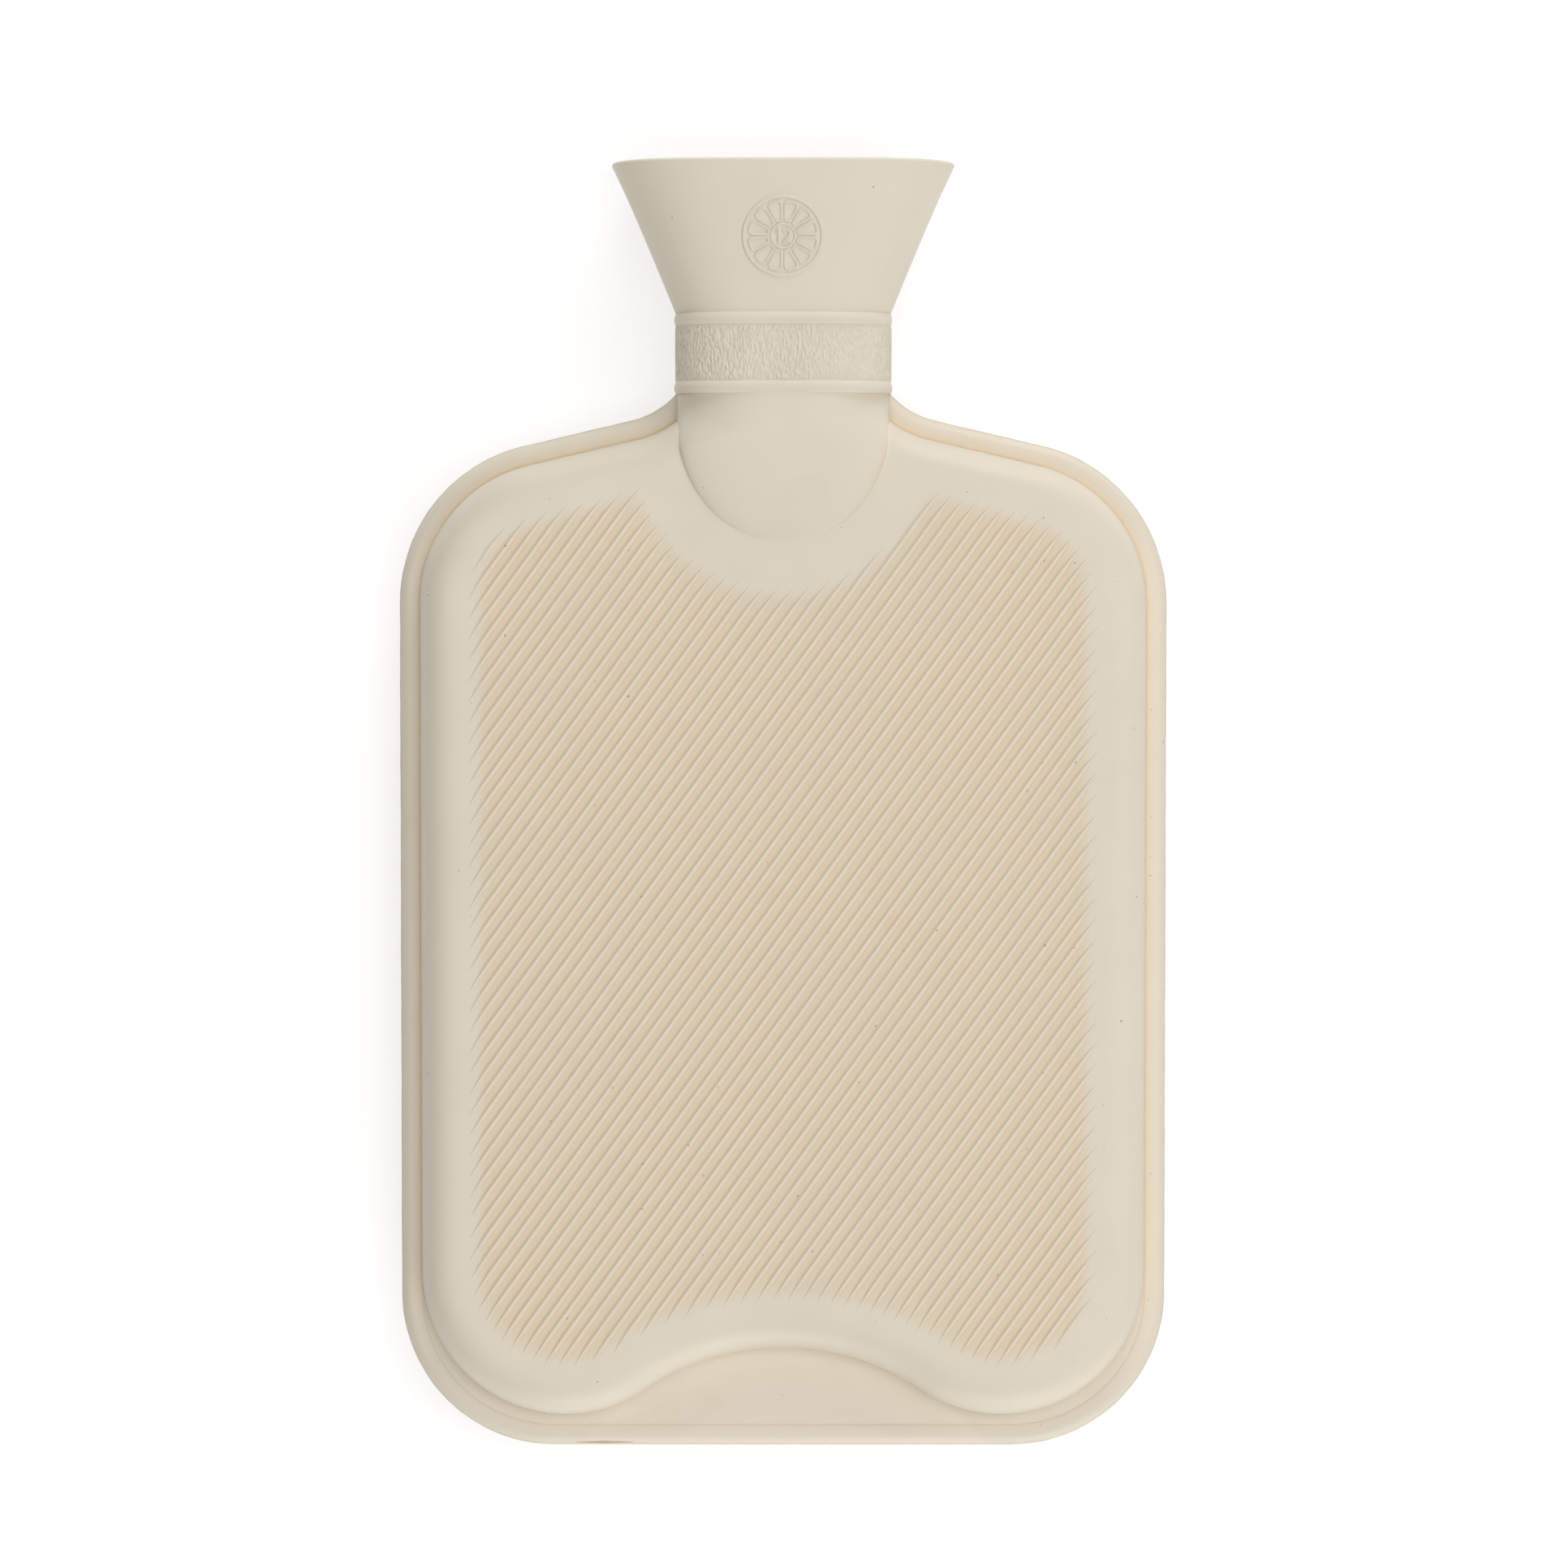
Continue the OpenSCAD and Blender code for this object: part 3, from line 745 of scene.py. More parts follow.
def half_solid(name, plan, half, margin):
    """One half of the rubber, from the seam out."""
    sizes = plan.sizes
    facing, panel_depth = half.facing, half.panel_depth

    def outside(y):
        return plan.neck(y, half.neck_depth, half.lip_depth, half.bead_step)

    bead = [flat_ring(plan.rim(margin + (sizes.bead_width - margin) / 2 * (1 + math.cos(a))),
                      foot + (sizes.bead_height - foot) * math.sin(a))
            for a in np.linspace(math.pi, 0, 19)
            for foot in [0 if a > math.pi / 2 else plan.web_thickness]]
    shell = loft(name, bead, facing)

    def pillow(depth, inset, below, steps):
        turns = np.linspace(0, math.pi / 2, steps + 1)
        shares = 1 - np.cos(turns) ** (2 / ROLL_FULLNESS)
        shares[-1] = 1
        rings = [flat_ring(plan.panel(inset), -below)] if below else []
        rings += [flat_ring(plan.panel(inset + (sizes.roll_width - inset) * share),
                            depth * roll(share)) for share in shares]
        return loft("pillow", rings, facing)

    def tongue():
        edge = plan.tongue(1)
        low = plan.tongue_edge(edge, panel_depth)
        rings = [flat_ring(edge, 0)]
        fullness = plan.tongue_fullness
        for turn in np.linspace(0, math.radians(86), 24):
            outline = plan.tongue(math.cos(turn) ** (2 / fullness))
            share = np.clip((outline[:, 1] - plan.tongue_tip)
                            / (plan.collar_height - plan.tongue_tip), 0, 1)
            foot = panel_depth + half.tongue_step
            climb = half.neck_depth + plan.tongue_swell - foot
            crest = foot + climb * np.sin(math.pi / 2 * share) ** 0.7
            height = low + (crest - low) * math.sin(turn) ** (2 / fullness)
            rings.append(np.column_stack([outline, height]))
        return loft("tongue", rings, facing)

    def neck():
        bead_steps = np.linspace(0, plan.collar_bead, 15)
        lip = sizes.length - plan.lip_round
        heights = np.concatenate([
            plan.collar_height + bead_steps,
            plan.collar_top - plan.collar_bead + bead_steps,
            np.linspace(plan.collar_top + 0.05 * MM, lip, 24)])
        rings = [cross_ring(y, *outside(y)) for y in heights]
        width, depth = outside(lip)
        for turn in np.linspace(0, math.pi / 2, 7)[1:]:
            inset = plan.lip_round * (1 - math.cos(turn))
            rings.append(cross_ring(lip + plan.lip_round * math.sin(turn), width - inset,
                                    depth - inset))
        return outward(loft("neck", [plan.lower_rim(ring) for ring in rings], facing))

    def funnel_space():
        floor = BUSH_HIGH.y - BOTTOM
        lip = sizes.length - plan.lip_round
        rings = []
        for y in np.linspace(floor, lip, 20):
            width, depth = outside(max(y, plan.collar_top + 0.05 * MM))
            rings.append(cross_ring(y, width - plan.funnel_wall, depth - plan.funnel_wall, LAP))
        width, depth = outside(lip)
        for turn in np.linspace(0, math.radians(80), 6)[1:]:
            flare = plan.lip_round * (1 - math.cos(turn)) - plan.funnel_wall
            rings.append(cross_ring(lip + plan.lip_round * math.sin(turn), width + flare,
                                    depth + flare, LAP))
        above = rings[-1].copy()
        above[:, 1] += 3 * MM
        rings.append(above)
        return outward(loft("funnel_space", [plan.lower_rim(ring) for ring in rings], facing))

    def neck_space():
        foot = BUSH_LOW.y - BOTTOM
        throat = (BUSH_HIGH.x - BUSH_LOW.x) / 2 - 2.5 * MM
        passage = plan.tongue_radius - plan.funnel_wall - LAP
        rings = [
            cross_ring(plan.tongue_tip, plan.tongue_radius * 0.72,
                       panel_depth - sizes.wall - LAP, LAP),
            cross_ring(foot - plan.throat_length, passage,
                       half.neck_depth - plan.funnel_wall, LAP),
            cross_ring(foot + LAP, throat, throat, LAP)]
        return outward(loft("neck_space", rings, facing))

    combine(shell, "UNION", [pillow(panel_depth, 0, 0, ROLL_STEPS), tongue(), neck()])
    inside = pillow(panel_depth - sizes.wall, sizes.wall, LAP, 10)
    bush = turned("bush_space", bush_outline(plan.bush_clearance, True))
    combine(shell, "DIFFERENCE", [inside, neck_space(), funnel_space(), bush])
    smooth(shell, 24)
    weigh_normals(shell)

    places = vertices(shell)
    flat = places[:, :2] - [0, BOTTOM]
    bead_line = even(np.vstack([plan.panel(0), plan.panel(0)[:1]]), 0.4 * MM)
    tongue_line = even(plan.tongue(1), 0.4 * MM)
    # The groove inside the bead and the crease round the tongue are marked for painted light, which
    # turns them golden as if light shone through the rubber
    low = np.abs(places[:, 2] - SEAM) < 4.5 * MM
    beside = np.clip((flat[:, 1] - 22 * MM) / (16 * MM), 0, 1)
    groove = nearness(flat, bead_line, 1.1 * MM) * np.where(low, beside, 0)
    crease = 0.3 * nearness(flat, tongue_line, 0.5 * MM)
    mark_small_faces(shell, "dirt_and_painted_light", np.maximum(groove, crease), 20 * MM * MM)
    return shell


def bush_outline(clearance, filled):
    """Outline of the bush: a tube with a wide seat at its top and a holding rib lower down."""
    outer = 14.5 * MM + clearance
    rib = (BUSH_HIGH.x - BUSH_LOW.x) / 2 - 0.5 * MM + clearance
    inner = 0 if filled else 10.7 * MM
    foot = BUSH_LOW.y - BOTTOM - clearance
    top = BUSH_HIGH.y - BOTTOM + clearance
    seat = BUSH_HIGH.y - BOTTOM - 2.4 * MM - clearance
    low = BUSH_LOW.y - BOTTOM + 5 * MM - clearance
    high = low + 3 * MM + 2 * clearance
    bevel = 0.5 * MM
    return [(inner, foot), (outer, foot), (outer, low), (rib, low + bevel), (rib, high - bevel),
            (outer, high), (outer, seat), (rib + bevel, seat), (rib + bevel, top), (inner, top)]


class BOTTLE_OT_finishes(bpy.types.Operator):
    """Makes the finishes of the rubber, the stopper, the bush and the washer"""
    bl_idname = "bottle.finishes"
    bl_label = "Finishes"

    def execute(self, context):
        looks = context.scene.bottle_colours
        plan = Plan(context.scene.bottle_sizes)
        make_rubber(looks, plan, context.scene.bottle_ribs)
        make_plain("plastic_finish", looks.plastic, roughness=0.38, grain=0.02 * MM)
        make_plain("washer_finish", looks.washer, roughness=0.62, grain=0.03 * MM)
        make_brass(looks)
        return {"FINISHED"}


def make_rubber(looks, plan, ribs):
    """Natural rubber with faint mottling, stains and dust. Painted shade makes it warm between the
    ribs and browner at their feet, painted highlights make the crests lighter, painted light makes it
    golden brown in the grooves and paler on the bead and web, painted shade and the seam line darken
    the seam, and the slit is painted dark brown.
    """
    material, graph, shader = material_graph("rubber_finish")
    place = graph.node("ShaderNodeTexCoord").outputs["Object"]
    axes = graph.node("ShaderNodeSeparateXYZ", inputs=[place])
    x = Number(graph, axes.outputs["X"])
    y = Number(graph, axes.outputs["Y"]) - BOTTOM
    z = Number(graph, axes.outputs["Z"]) - SEAM

    def noise(scale, detail=2.0, roughness=0.5):
        return graph.number("ShaderNodeTexNoise", "Fac", inputs={
            "Vector": place, "Scale": scale, "Detail": detail, "Roughness": roughness})

    def beyond(dx, dy):
        """How far a place is beyond a corner that lies dx and dy behind it."""
        return (dx.most(0.0) ** 2 + dy.most(0.0) ** 2) ** 0.5

    sizes = plan.sizes
    soft = 5 * MM
    across, up = math.cos(plan.shoulder_angle), math.sin(plan.shoulder_angle)
    top = float(plan.top_corner @ [across, up]) + plan.top_corner_radius \
        - sizes.bead_width - ribs.margin
    top_x, top_y = (float(v) for v in plan.top_corner)
    lobe_x, lobe_y = (float(v) for v in plan.lobe_centre)
    low_corner = beyond(abs(x) - lobe_x, lobe_y - y)
    high_corner = beyond(abs(x) - top_x, y - top_y) * (abs(x) - top_x).rise(0, MM)
    field = (plan.lobe_radius - ribs.margin - low_corner).rise(0, soft)
    field = field * (plan.top_corner_radius - sizes.bead_width - ribs.margin
                     - high_corner).rise(0, soft)
    field = field * (top - abs(x) * across - y * up).rise(0, soft)
    aside, down = plan.notch_reach(ribs)
    notch = ((x / aside) ** 2 + ((y - plan.tongue_height) / down) ** 2) ** 0.5
    field = field * notch.rise(1, 1 + soft / aside)
    web = (x ** 2 + (y - float(plan.web_centre[1])) ** 2) ** 0.5 - plan.web_radius
    field = field * (web - ribs.margin).rise(0, soft)
    ribbed = field * z.rise(sizes.front_depth - 0.5 * MM, sizes.front_depth - 0.1 * MM)
    height = graph.number("ShaderNodeAttribute", "Fac", {"attribute_name": "crest"})
    crest = height.rise(0.85, 0.97)

    mottle = noise(24.0)
    cloud = noise(90.0, 3.0)
    dirt_and_painted_light = graph.number("ShaderNodeAttribute", "Fac", {"attribute_name": "dirt_and_painted_light"})
    cells = graph.node("ShaderNodeTexVoronoi", inputs={"Vector": place, "Scale": 250.0})
    chance = graph.number("ShaderNodeSeparateXYZ", 0, inputs=[cells.outputs["Color"]])
    size = graph.number("ShaderNodeSeparateXYZ", 1, inputs=[cells.outputs["Color"]])
    dot = Number(graph, cells.outputs["Distance"])
    speck = (1 - dot.rise(0.025, 0.04 + size * 0.07)) * chance.rise(0.58, 0.95)

    # Painted shade: the valleys of the ribbed field turn warmer and darker
    base = graph.mix(ribbed * (1 - crest), looks.rubber, looks.painted_valley_shade)
    # Painted highlight: the crests of the ribs are painted lighter
    base = graph.mix(field * crest * 0.5, base, looks.crest)
    # Painted shade: the lower flanks of the ribs turn brown
    base = graph.mix(ribbed * height.rise(0.05, 0.3) * (1 - crest) * 0.5, base, looks.painted_rib_foot_shade)
    base = graph.mix((mottle - 0.5) * 0.5 + (cloud - 0.5) * 0.25 + 0.12, base,
                     tuple(0.90 * c for c in looks.rubber))
    # Painted light: near the seam the rubber is painted paler, most on the web, to lift the shade that
    # the high pillow casts there
    low = 1 - abs(z).rise(2 * MM, 6 * MM)
    base = graph.mix(low * (0.6 - web.rise(0, 3 * MM) * 0.45), base, looks.pale)
    # Darker along the seam: partly the mould's seam line and partly painted shade on the bead's outer
    # edge, weaker above the collar
    seam = (1 - abs(z).rise(0.1 * MM, 1.8 * MM)) \
        * (0.26 - y.rise(plan.collar_height, plan.collar_top) * 0.14)
    base = graph.mix(seam, base, looks.dirt_and_painted_light)
    stain = noise(55.0, 3.0).rise(0.62, 0.75)
    base = graph.mix(stain * 0.05, base, looks.dirt_and_painted_light)
    # Painted light: the marked grooves and the tongue's crease turn golden
    base = graph.mix(dirt_and_painted_light * 0.5, base, looks.groove)
    # The slit near the bottom edge is painted as a dark brown wedge
    narrow = 0.45 * MM - abs(x - plan.slit_middle) * (0.3 * MM / plan.slit_reach)
    slit = (1 - abs(x - plan.slit_middle).rise(plan.slit_reach - MM, plan.slit_reach)) \
        * (narrow - abs(y - 0.75 * MM)).rise(0, 0.15 * MM) * z.rise(0, 0.5 * MM)
    base = graph.mix(slit * 0.9, base, looks.dirt_and_painted_light)
    base = graph.mix(speck * 0.85, base, looks.speck)

    skin = noise(2600.0, 2.0)
    swell = noise(38.0, 1.0)
    bump = graph.node("ShaderNodeBump", inputs={
        "Strength": 1.0, "Distance": 1.0,
        "Height": skin * (0.012 * MM) + cloud * (0.10 * MM) + swell * (0.35 * MM)})
    feed(graph, shader, Base_Color=base, Roughness=0.50 + (cloud - 0.5) * 0.18,
         Normal=bump.outputs[0], IOR=1.48)
    return material


def make_plain(name, tint, roughness, grain):
    """Moulded material with a faint grain and slightly uneven gloss."""
    material, graph, shader = material_graph(name)
    place = graph.node("ShaderNodeTexCoord").outputs["Object"]
    fine = graph.number("ShaderNodeTexNoise", "Fac", inputs={
        "Vector": place, "Scale": 1400.0, "Detail": 3.0})
    broad = graph.number("ShaderNodeTexNoise", "Fac", inputs={
        "Vector": place, "Scale": 110.0, "Detail": 2.0})
    base = graph.mix(broad * 0.6, tint, tuple(0.86 * c for c in tint))
    bump = graph.node("ShaderNodeBump", inputs={
        "Strength": 1.0, "Distance": 1.0, "Height": fine * grain})
    feed(graph, shader, Base_Color=base, Roughness=roughness + (broad - 0.5) * 0.16,
         Normal=bump.outputs[0], IOR=1.49)
    return material


def make_brass(looks):
    """Turned brass with fine rings from the lathe and a little tarnish."""
    material, graph, shader = material_graph("brass_finish")
    place = graph.node("ShaderNodeTexCoord").outputs["Object"]
    axes = graph.node("ShaderNodeSeparateXYZ", inputs=[place])
    x = Number(graph, axes.outputs["X"])
    z = Number(graph, axes.outputs["Z"]) - SEAM
    radius = (x ** 2 + z ** 2) ** 0.5
    rings = (radius * (2 * math.pi / (0.35 * MM))).math("SINE")
    stain = graph.number("ShaderNodeTexNoise", "Fac", inputs={
        "Vector": place, "Scale": 160.0, "Detail": 4.0})
    base = graph.mix(stain.rise(0.45, 0.7), looks.brass, tuple(0.55 * c for c in looks.brass))
    bump = graph.node("ShaderNodeBump", inputs={
        "Strength": 1.0, "Distance": 1.0, "Height": rings * (0.006 * MM)})
    feed(graph, shader, Base_Color=base, Metallic=1.0, Roughness=0.30 + stain * 0.2,
         Normal=bump.outputs[0])
    return material


class BOTTLE_OT_front_half(bpy.types.Operator):
    """Builds the front half of the rubber, with its panel, tongue, collar and funnel"""
    bl_idname = "bottle.front_half"
    bl_label = "Front half"

    def execute(self, context):
        plan = Plan(context.scene.bottle_sizes)
        piece = half_solid("front_rubber", plan, plan.front(),
                           context.scene.bottle_details.flash_height)
        ready(piece, finish_named("rubber_finish"), "bottle", "natural_rubber", "front_shell")
        return {"FINISHED"}


class BOTTLE_OT_back_half(bpy.types.Operator):
    """Builds the plain back half of the rubber"""
    bl_idname = "bottle.back_half"
    bl_label = "Back half"

    def execute(self, context):
        plan = Plan(context.scene.bottle_sizes)
        piece = half_solid("back_rubber", plan, plan.back(),
                           context.scene.bottle_details.flash_height)
        ready(piece, finish_named("rubber_finish"), "bottle", "natural_rubber", "back_shell")
        return {"FINISHED"}


# Ribs, wrinkles and raised lines, which Geometry Nodes repeat

def geometry_graph(name, inputs):
    """A new Geometry Nodes tree with a geometry in and out, and named inputs."""
    tree = bpy.data.node_groups.new(name, "GeometryNodeTree")
    tree.interface.new_socket("Geometry", in_out="OUTPUT", socket_type="NodeSocketGeometry")
    tree.interface.new_socket("Geometry", in_out="INPUT", socket_type="NodeSocketGeometry")
    for label, kind in inputs.items():
        tree.interface.new_socket(label, in_out="INPUT", socket_type="NodeSocket" + kind)
    graph = Graph(tree)
    entry = graph.node("NodeGroupInput")
    return graph, {socket.name: socket for socket in entry.outputs if socket.name}


def close_tree(graph, geometry, material):
    """Ends a tree: shades, realises the instances and sets the material."""
    shaded = graph.node("GeometryNodeSetShadeSmooth", inputs={"Geometry": geometry})
    real = graph.node("GeometryNodeRealizeInstances", inputs={"Geometry": shaded.outputs[0]})
    painted = graph.node("GeometryNodeSetMaterial",
                         inputs={"Geometry": real.outputs[0], "Material": material})
    output = graph.node("NodeGroupOutput")
    graph.tree.links.new(painted.outputs[0], output.inputs[0])
    return graph.tree


def run_tree(piece, tree, values):
    """Puts a tree on a piece, sets its inputs by their identifiers, and settles the result."""
    modifier = piece.modifiers.new(tree.name, "NODES")
    identifiers = {item.name: item.identifier for item in tree.interface.items_tree
                   if item.item_type == "SOCKET" and item.in_out == "INPUT"}
    modifier.node_group = tree
    for label, value in values.items():
        modifier[identifiers[label]] = value
    return settle(piece)


def rib_tree():
    """Ribs along parallel lines, from the first wall that each line meets to the next one."""
    graph, given = geometry_graph("slanted_ribs", {
        "Pitch": "Float", "Angle": "Float", "Count": "Int", "Middle": "Vector",
        "Reach": "Float", "Half Width": "Float", "Depth": "Float", "Point": "Float",
        "Step": "Float", "Material": "Material"})
    angle = Number(graph, given["Angle"])
    pitch = Number(graph, given["Pitch"])
    reach = Number(graph, given["Reach"])
    run = angle.math("COSINE")
    climb = angle.math("SINE")
    along = graph.vector(run, climb, 0.0)

    def scaled(vector, factor):
        return graph.node("ShaderNodeVectorMath", {"operation": "SCALE"},
                          {"Vector": vector, "Scale": factor}).outputs[0]

    def added(one, other):
        return graph.node("ShaderNodeVectorMath", {"operation": "ADD"}, [one, other]).outputs[0]

    wall = graph.node("GeometryNodeExtrudeMesh", {"mode": "EDGES"}, {
        "Mesh": given["Geometry"], "Offset": graph.vector(0.0, 0.0, 1.0), "Offset Scale": 0.02})
    count = Number(graph, given["Count"])
    aside = scaled(graph.vector(-climb, run, 0.0), pitch)
    first = added(given["Middle"], added(scaled(aside, (count - 1) * -0.5), scaled(along, -reach)))
    first = added(first, (0.0, 0.0, 0.01))
    line = graph.node("GeometryNodeMeshLine", inputs={
        "Count": given["Count"], "Start Location": first, "Offset": aside})
    starts = graph.node("GeometryNodeDeleteGeometry", {"domain": "EDGE", "mode": "EDGE_FACE"},
                        {"Geometry": line.outputs[0]})

    def cast():
        place = graph.node("GeometryNodeInputPosition").outputs[0]
        return graph.node("GeometryNodeRaycast", inputs={
            "Target Geometry": wall.outputs["Mesh"], "Source Position": place,
            "Ray Direction": along, "Ray Length": reach * 2})

    def to_next_wall(points):
        """Moves each point just past the next wall on its way, and drops those that meet none."""
        ray = cast()
        met = graph.node("GeometryNodeSeparateGeometry", {"domain": "POINT"}, {
            "Geometry": points, "Selection": ray.outputs["Is Hit"]})
        return graph.node("GeometryNodeSetPosition", inputs={
            "Geometry": met.outputs["Selection"],
            "Position": added(ray.outputs["Hit Position"], scaled(along, 0.05 * MM))}).outputs[0]

    def drawn(points):
        """Lines from the points to the next wall, where that is far enough for a rib."""
        ray = cast()
        length = Number(graph, ray.outputs["Hit Distance"])
        far = graph.node("FunctionNodeCompare", {"data_type": "FLOAT", "operation": "GREATER_THAN"},
                         {"A": length, "B": given["Point"]})
        kept = graph.node("GeometryNodeSeparateGeometry", {"domain": "POINT"}, {
            "Geometry": points, "Selection": far.outputs[0]})
        return graph.node("GeometryNodeExtrudeMesh", {"mode": "VERTICES"}, {
            "Mesh": kept.outputs["Selection"], "Offset": along, "Offset Scale": length}).outputs[0]

    entry = to_next_wall(starts.outputs[0])
    second_entry = to_next_wall(to_next_wall(entry))
    both = graph.node("GeometryNodeJoinGeometry")
    graph.tree.links.new(drawn(entry), both.inputs[0])
    graph.tree.links.new(drawn(second_entry), both.inputs[0])
    curve = graph.node("GeometryNodeMeshToCurve", inputs=[both.outputs[0]])
    fine = graph.node("GeometryNodeResampleCurve", {"mode": "LENGTH"}, {
        "Curve": curve.outputs[0], "Length": given["Step"]})
    parameter = graph.node("GeometryNodeSplineParameter")
    share = Number(graph, parameter.outputs["Factor"])
    gone = Number(graph, parameter.outputs["Length"])
    whole = graph.number("GeometryNodeSplineLength")
    crowded = (1 - (share * math.pi).math("COSINE")) * 0.5
    close = graph.node("GeometryNodeSetPosition", inputs={
        "Geometry": fine.outputs[0], "Offset": scaled(along, (crowded - share) * whole)})
    end = gone.least(whole - gone) / given["Point"]
    radius = end.math("MINIMUM", 1.0).math("MAXIMUM", 0.0) ** RIB_TAPER * 0.985 + 0.015
    shaped = graph.node("GeometryNodeSetCurveRadius", inputs={
        "Curve": close.outputs[0], "Radius": radius})
    level = graph.node("GeometryNodeSetPosition", inputs={
        "Geometry": shaped.outputs[0], "Offset": (0.0, 0.0, -0.01)})
    upright = graph.node("GeometryNodeSetCurveNormal", {"mode": "Z_UP"}, {"Curve": level.outputs[0]})
    across = graph.node("GeometryNodeMeshLine", inputs={
        "Count": 9, "Start Location": (-1.0, 0.0, 0.0), "Offset": (0.25, 0.0, 0.0)})
    axes = graph.node("ShaderNodeSeparateXYZ",
                      inputs=[graph.node("GeometryNodeInputPosition").outputs[0]])
    aside = Number(graph, axes.outputs["X"])
    crest = ((1 - abs(aside)) / (1 - CREST_SHARE)).most(0.0).least(1.0) ** FLANK_HOLLOW
    kept_crest = graph.node("GeometryNodeCaptureAttribute")
    kept_crest.capture_items.new("FLOAT", "Crest")
    graph.tree.links.new(across.outputs[0], kept_crest.inputs[0])
    graph.tree.links.new(crest.socket, kept_crest.inputs["Crest"])
    crest = Number(graph, kept_crest.outputs["Crest"])
    bent = graph.node("GeometryNodeSetPosition", inputs={
        "Geometry": kept_crest.outputs[0],
        "Position": graph.vector(aside * given["Half Width"], -crest * given["Depth"], 0.0)})
    marked = graph.node("GeometryNodeStoreNamedAttribute", {"data_type": "FLOAT", "domain": "POINT"},
                        {"Geometry": bent.outputs[0], "Name": "crest", "Value": crest})
    open_profile = graph.node("GeometryNodeMeshToCurve", inputs=[marked.outputs[0]])
    profile = graph.node("GeometryNodeSetSplineCyclic", inputs={
        "Geometry": open_profile.outputs[0], "Cyclic": True})
    tube = graph.node("GeometryNodeCurveToMesh", inputs={
        "Curve": upright.outputs[0], "Profile Curve": profile.outputs[0], "Scale": radius,
        "Fill Caps": True})
    return close_tree(graph, tube.outputs[0], given["Material"])


class BOTTLE_OT_ribs(bpy.types.Operator):
    """Lays the slanted ribs over the front panel"""
    bl_idname = "bottle.ribs"
    bl_label = "Ribs"

    def execute(self, context):
        sizes = context.scene.bottle_sizes
        ribs = context.scene.bottle_ribs
        plan = Plan(sizes)
        field = plan.rib_field(ribs)
        places = [(x, y + BOTTOM, SEAM + sizes.front_depth) for x, y in field]
        edges = [(i, (i + 1) % len(field)) for i in range(len(field))]
        mesh = bpy.data.meshes.new("panel_ribs")
        mesh.from_pydata(places, edges, [])
        piece = bpy.data.objects.new("panel_ribs", mesh)
        context.scene.collection.objects.link(piece)
        sink = 0.02 * MM
        material = finish_named("rubber_finish")
        run_tree(piece, rib_tree(), {
            "Pitch": ribs.pitch, "Angle": ribs.angle, "Count": 101,
            "Middle": (0.0, 0.144 + BOTTOM, SEAM + sizes.front_depth - sink),
            "Reach": 0.25, "Half Width": ribs.width / 2, "Depth": ribs.height + sink,
            "Point": ribs.point, "Step": 2.4 * MM, "Material": material})
        if not piece.data.polygons:
            raise RuntimeError("the ribs met no wall")
        smooth(outward(piece), 20)
        ready(piece, material, "bottle", "natural_rubber")
        return {"FINISHED"}


class BOTTLE_OT_seam(bpy.types.Operator):
    """Runs the thin flash of the mould along the seam"""
    bl_idname = "bottle.seam"
    bl_label = "Parting flash"

    def execute(self, context):
        sizes = context.scene.bottle_sizes
        height = context.scene.bottle_details.flash_height
        plan = Plan(sizes)
        outer = plan.rim(0)
        inner = plan.rim(6 * height)
        walk = np.linalg.norm(np.diff(outer, axis=0, append=outer[:1]), axis=1)
        along = np.cumsum(walk)
        wave = np.zeros(len(outer))
        for length, phase in ((61, 0.3), (23.5, 1.9), (9.7, 4.1), (4.3, 2.2)):
            turns = round(along[-1] / (length * MM))
            wave += np.sin(2 * math.pi * turns * along / along[-1] + phase) / 4
        share = (0.35 + 0.35 * wave)[:, None]
        edge = outer + (inner - outer) / 6 * share
        rings = [flat_ring(inner, 0.3 * MM), flat_ring(edge, 0.05 * MM),
                 flat_ring(edge, -0.05 * MM), flat_ring(inner, -0.3 * MM)]
        count = len(outer)
        faces = []
        for r in range(4):
            for i in range(count):
                a, b = r * count + i, r * count + (i + 1) % count
                c, d = (r + 1) % 4 * count + (i + 1) % count, (r + 1) % 4 * count + i
                faces.append((a, b, c, d))
        piece = outward(new_piece("seam_flash", in_frame(np.concatenate(rings)), faces))
        smooth(piece, 50)
        ready(piece, finish_named("rubber_finish"), "bottle", "natural_rubber")
        return {"FINISHED"}


def grain_tree():
    """Leathery wrinkles that run along the bottle, raised on every face marked as skin."""
    graph, given = geometry_graph("collar_wrinkles", {
        "Height": "Float", "Across": "Float", "Along": "Float", "Material": "Material"})
    place = graph.node("GeometryNodeInputPosition").outputs[0]
    across = 1 / Number(graph, given["Across"])
    stretch = graph.vector(across, 1 / Number(graph, given["Along"]), across)
    scaled = graph.node("ShaderNodeVectorMath", {"operation": "MULTIPLY"}, [place, stretch])
    waves = graph.number("ShaderNodeTexNoise", "Fac", inputs={
        "Vector": scaled.outputs[0], "Scale": 1.0, "Detail": 1.0, "Distortion": 0.35})
    patch = graph.number("ShaderNodeTexNoise", "Fac", inputs={
        "Vector": scaled.outputs[0], "Scale": 0.1, "Detail": 1.0})
    skin = graph.number("GeometryNodeInputNamedAttribute", 0, {"data_type": "FLOAT"},
                        {"Name": "skin"})
    crease = abs(waves - 0.5).rise(0.0, 0.085)
    rise = crease * (0.7 + patch.rise(0.35, 0.65) * 0.3) * skin
    normal = graph.node("GeometryNodeInputNormal").outputs[0]
    offset = graph.node("ShaderNodeVectorMath", {"operation": "SCALE"},
                        {"Vector": normal, "Scale": rise * given["Height"]})
    moved = graph.node("GeometryNodeSetPosition", inputs={
        "Geometry": given["Geometry"], "Offset": offset.outputs[0]})
    return close_tree(graph, moved.outputs[0], given["Material"])


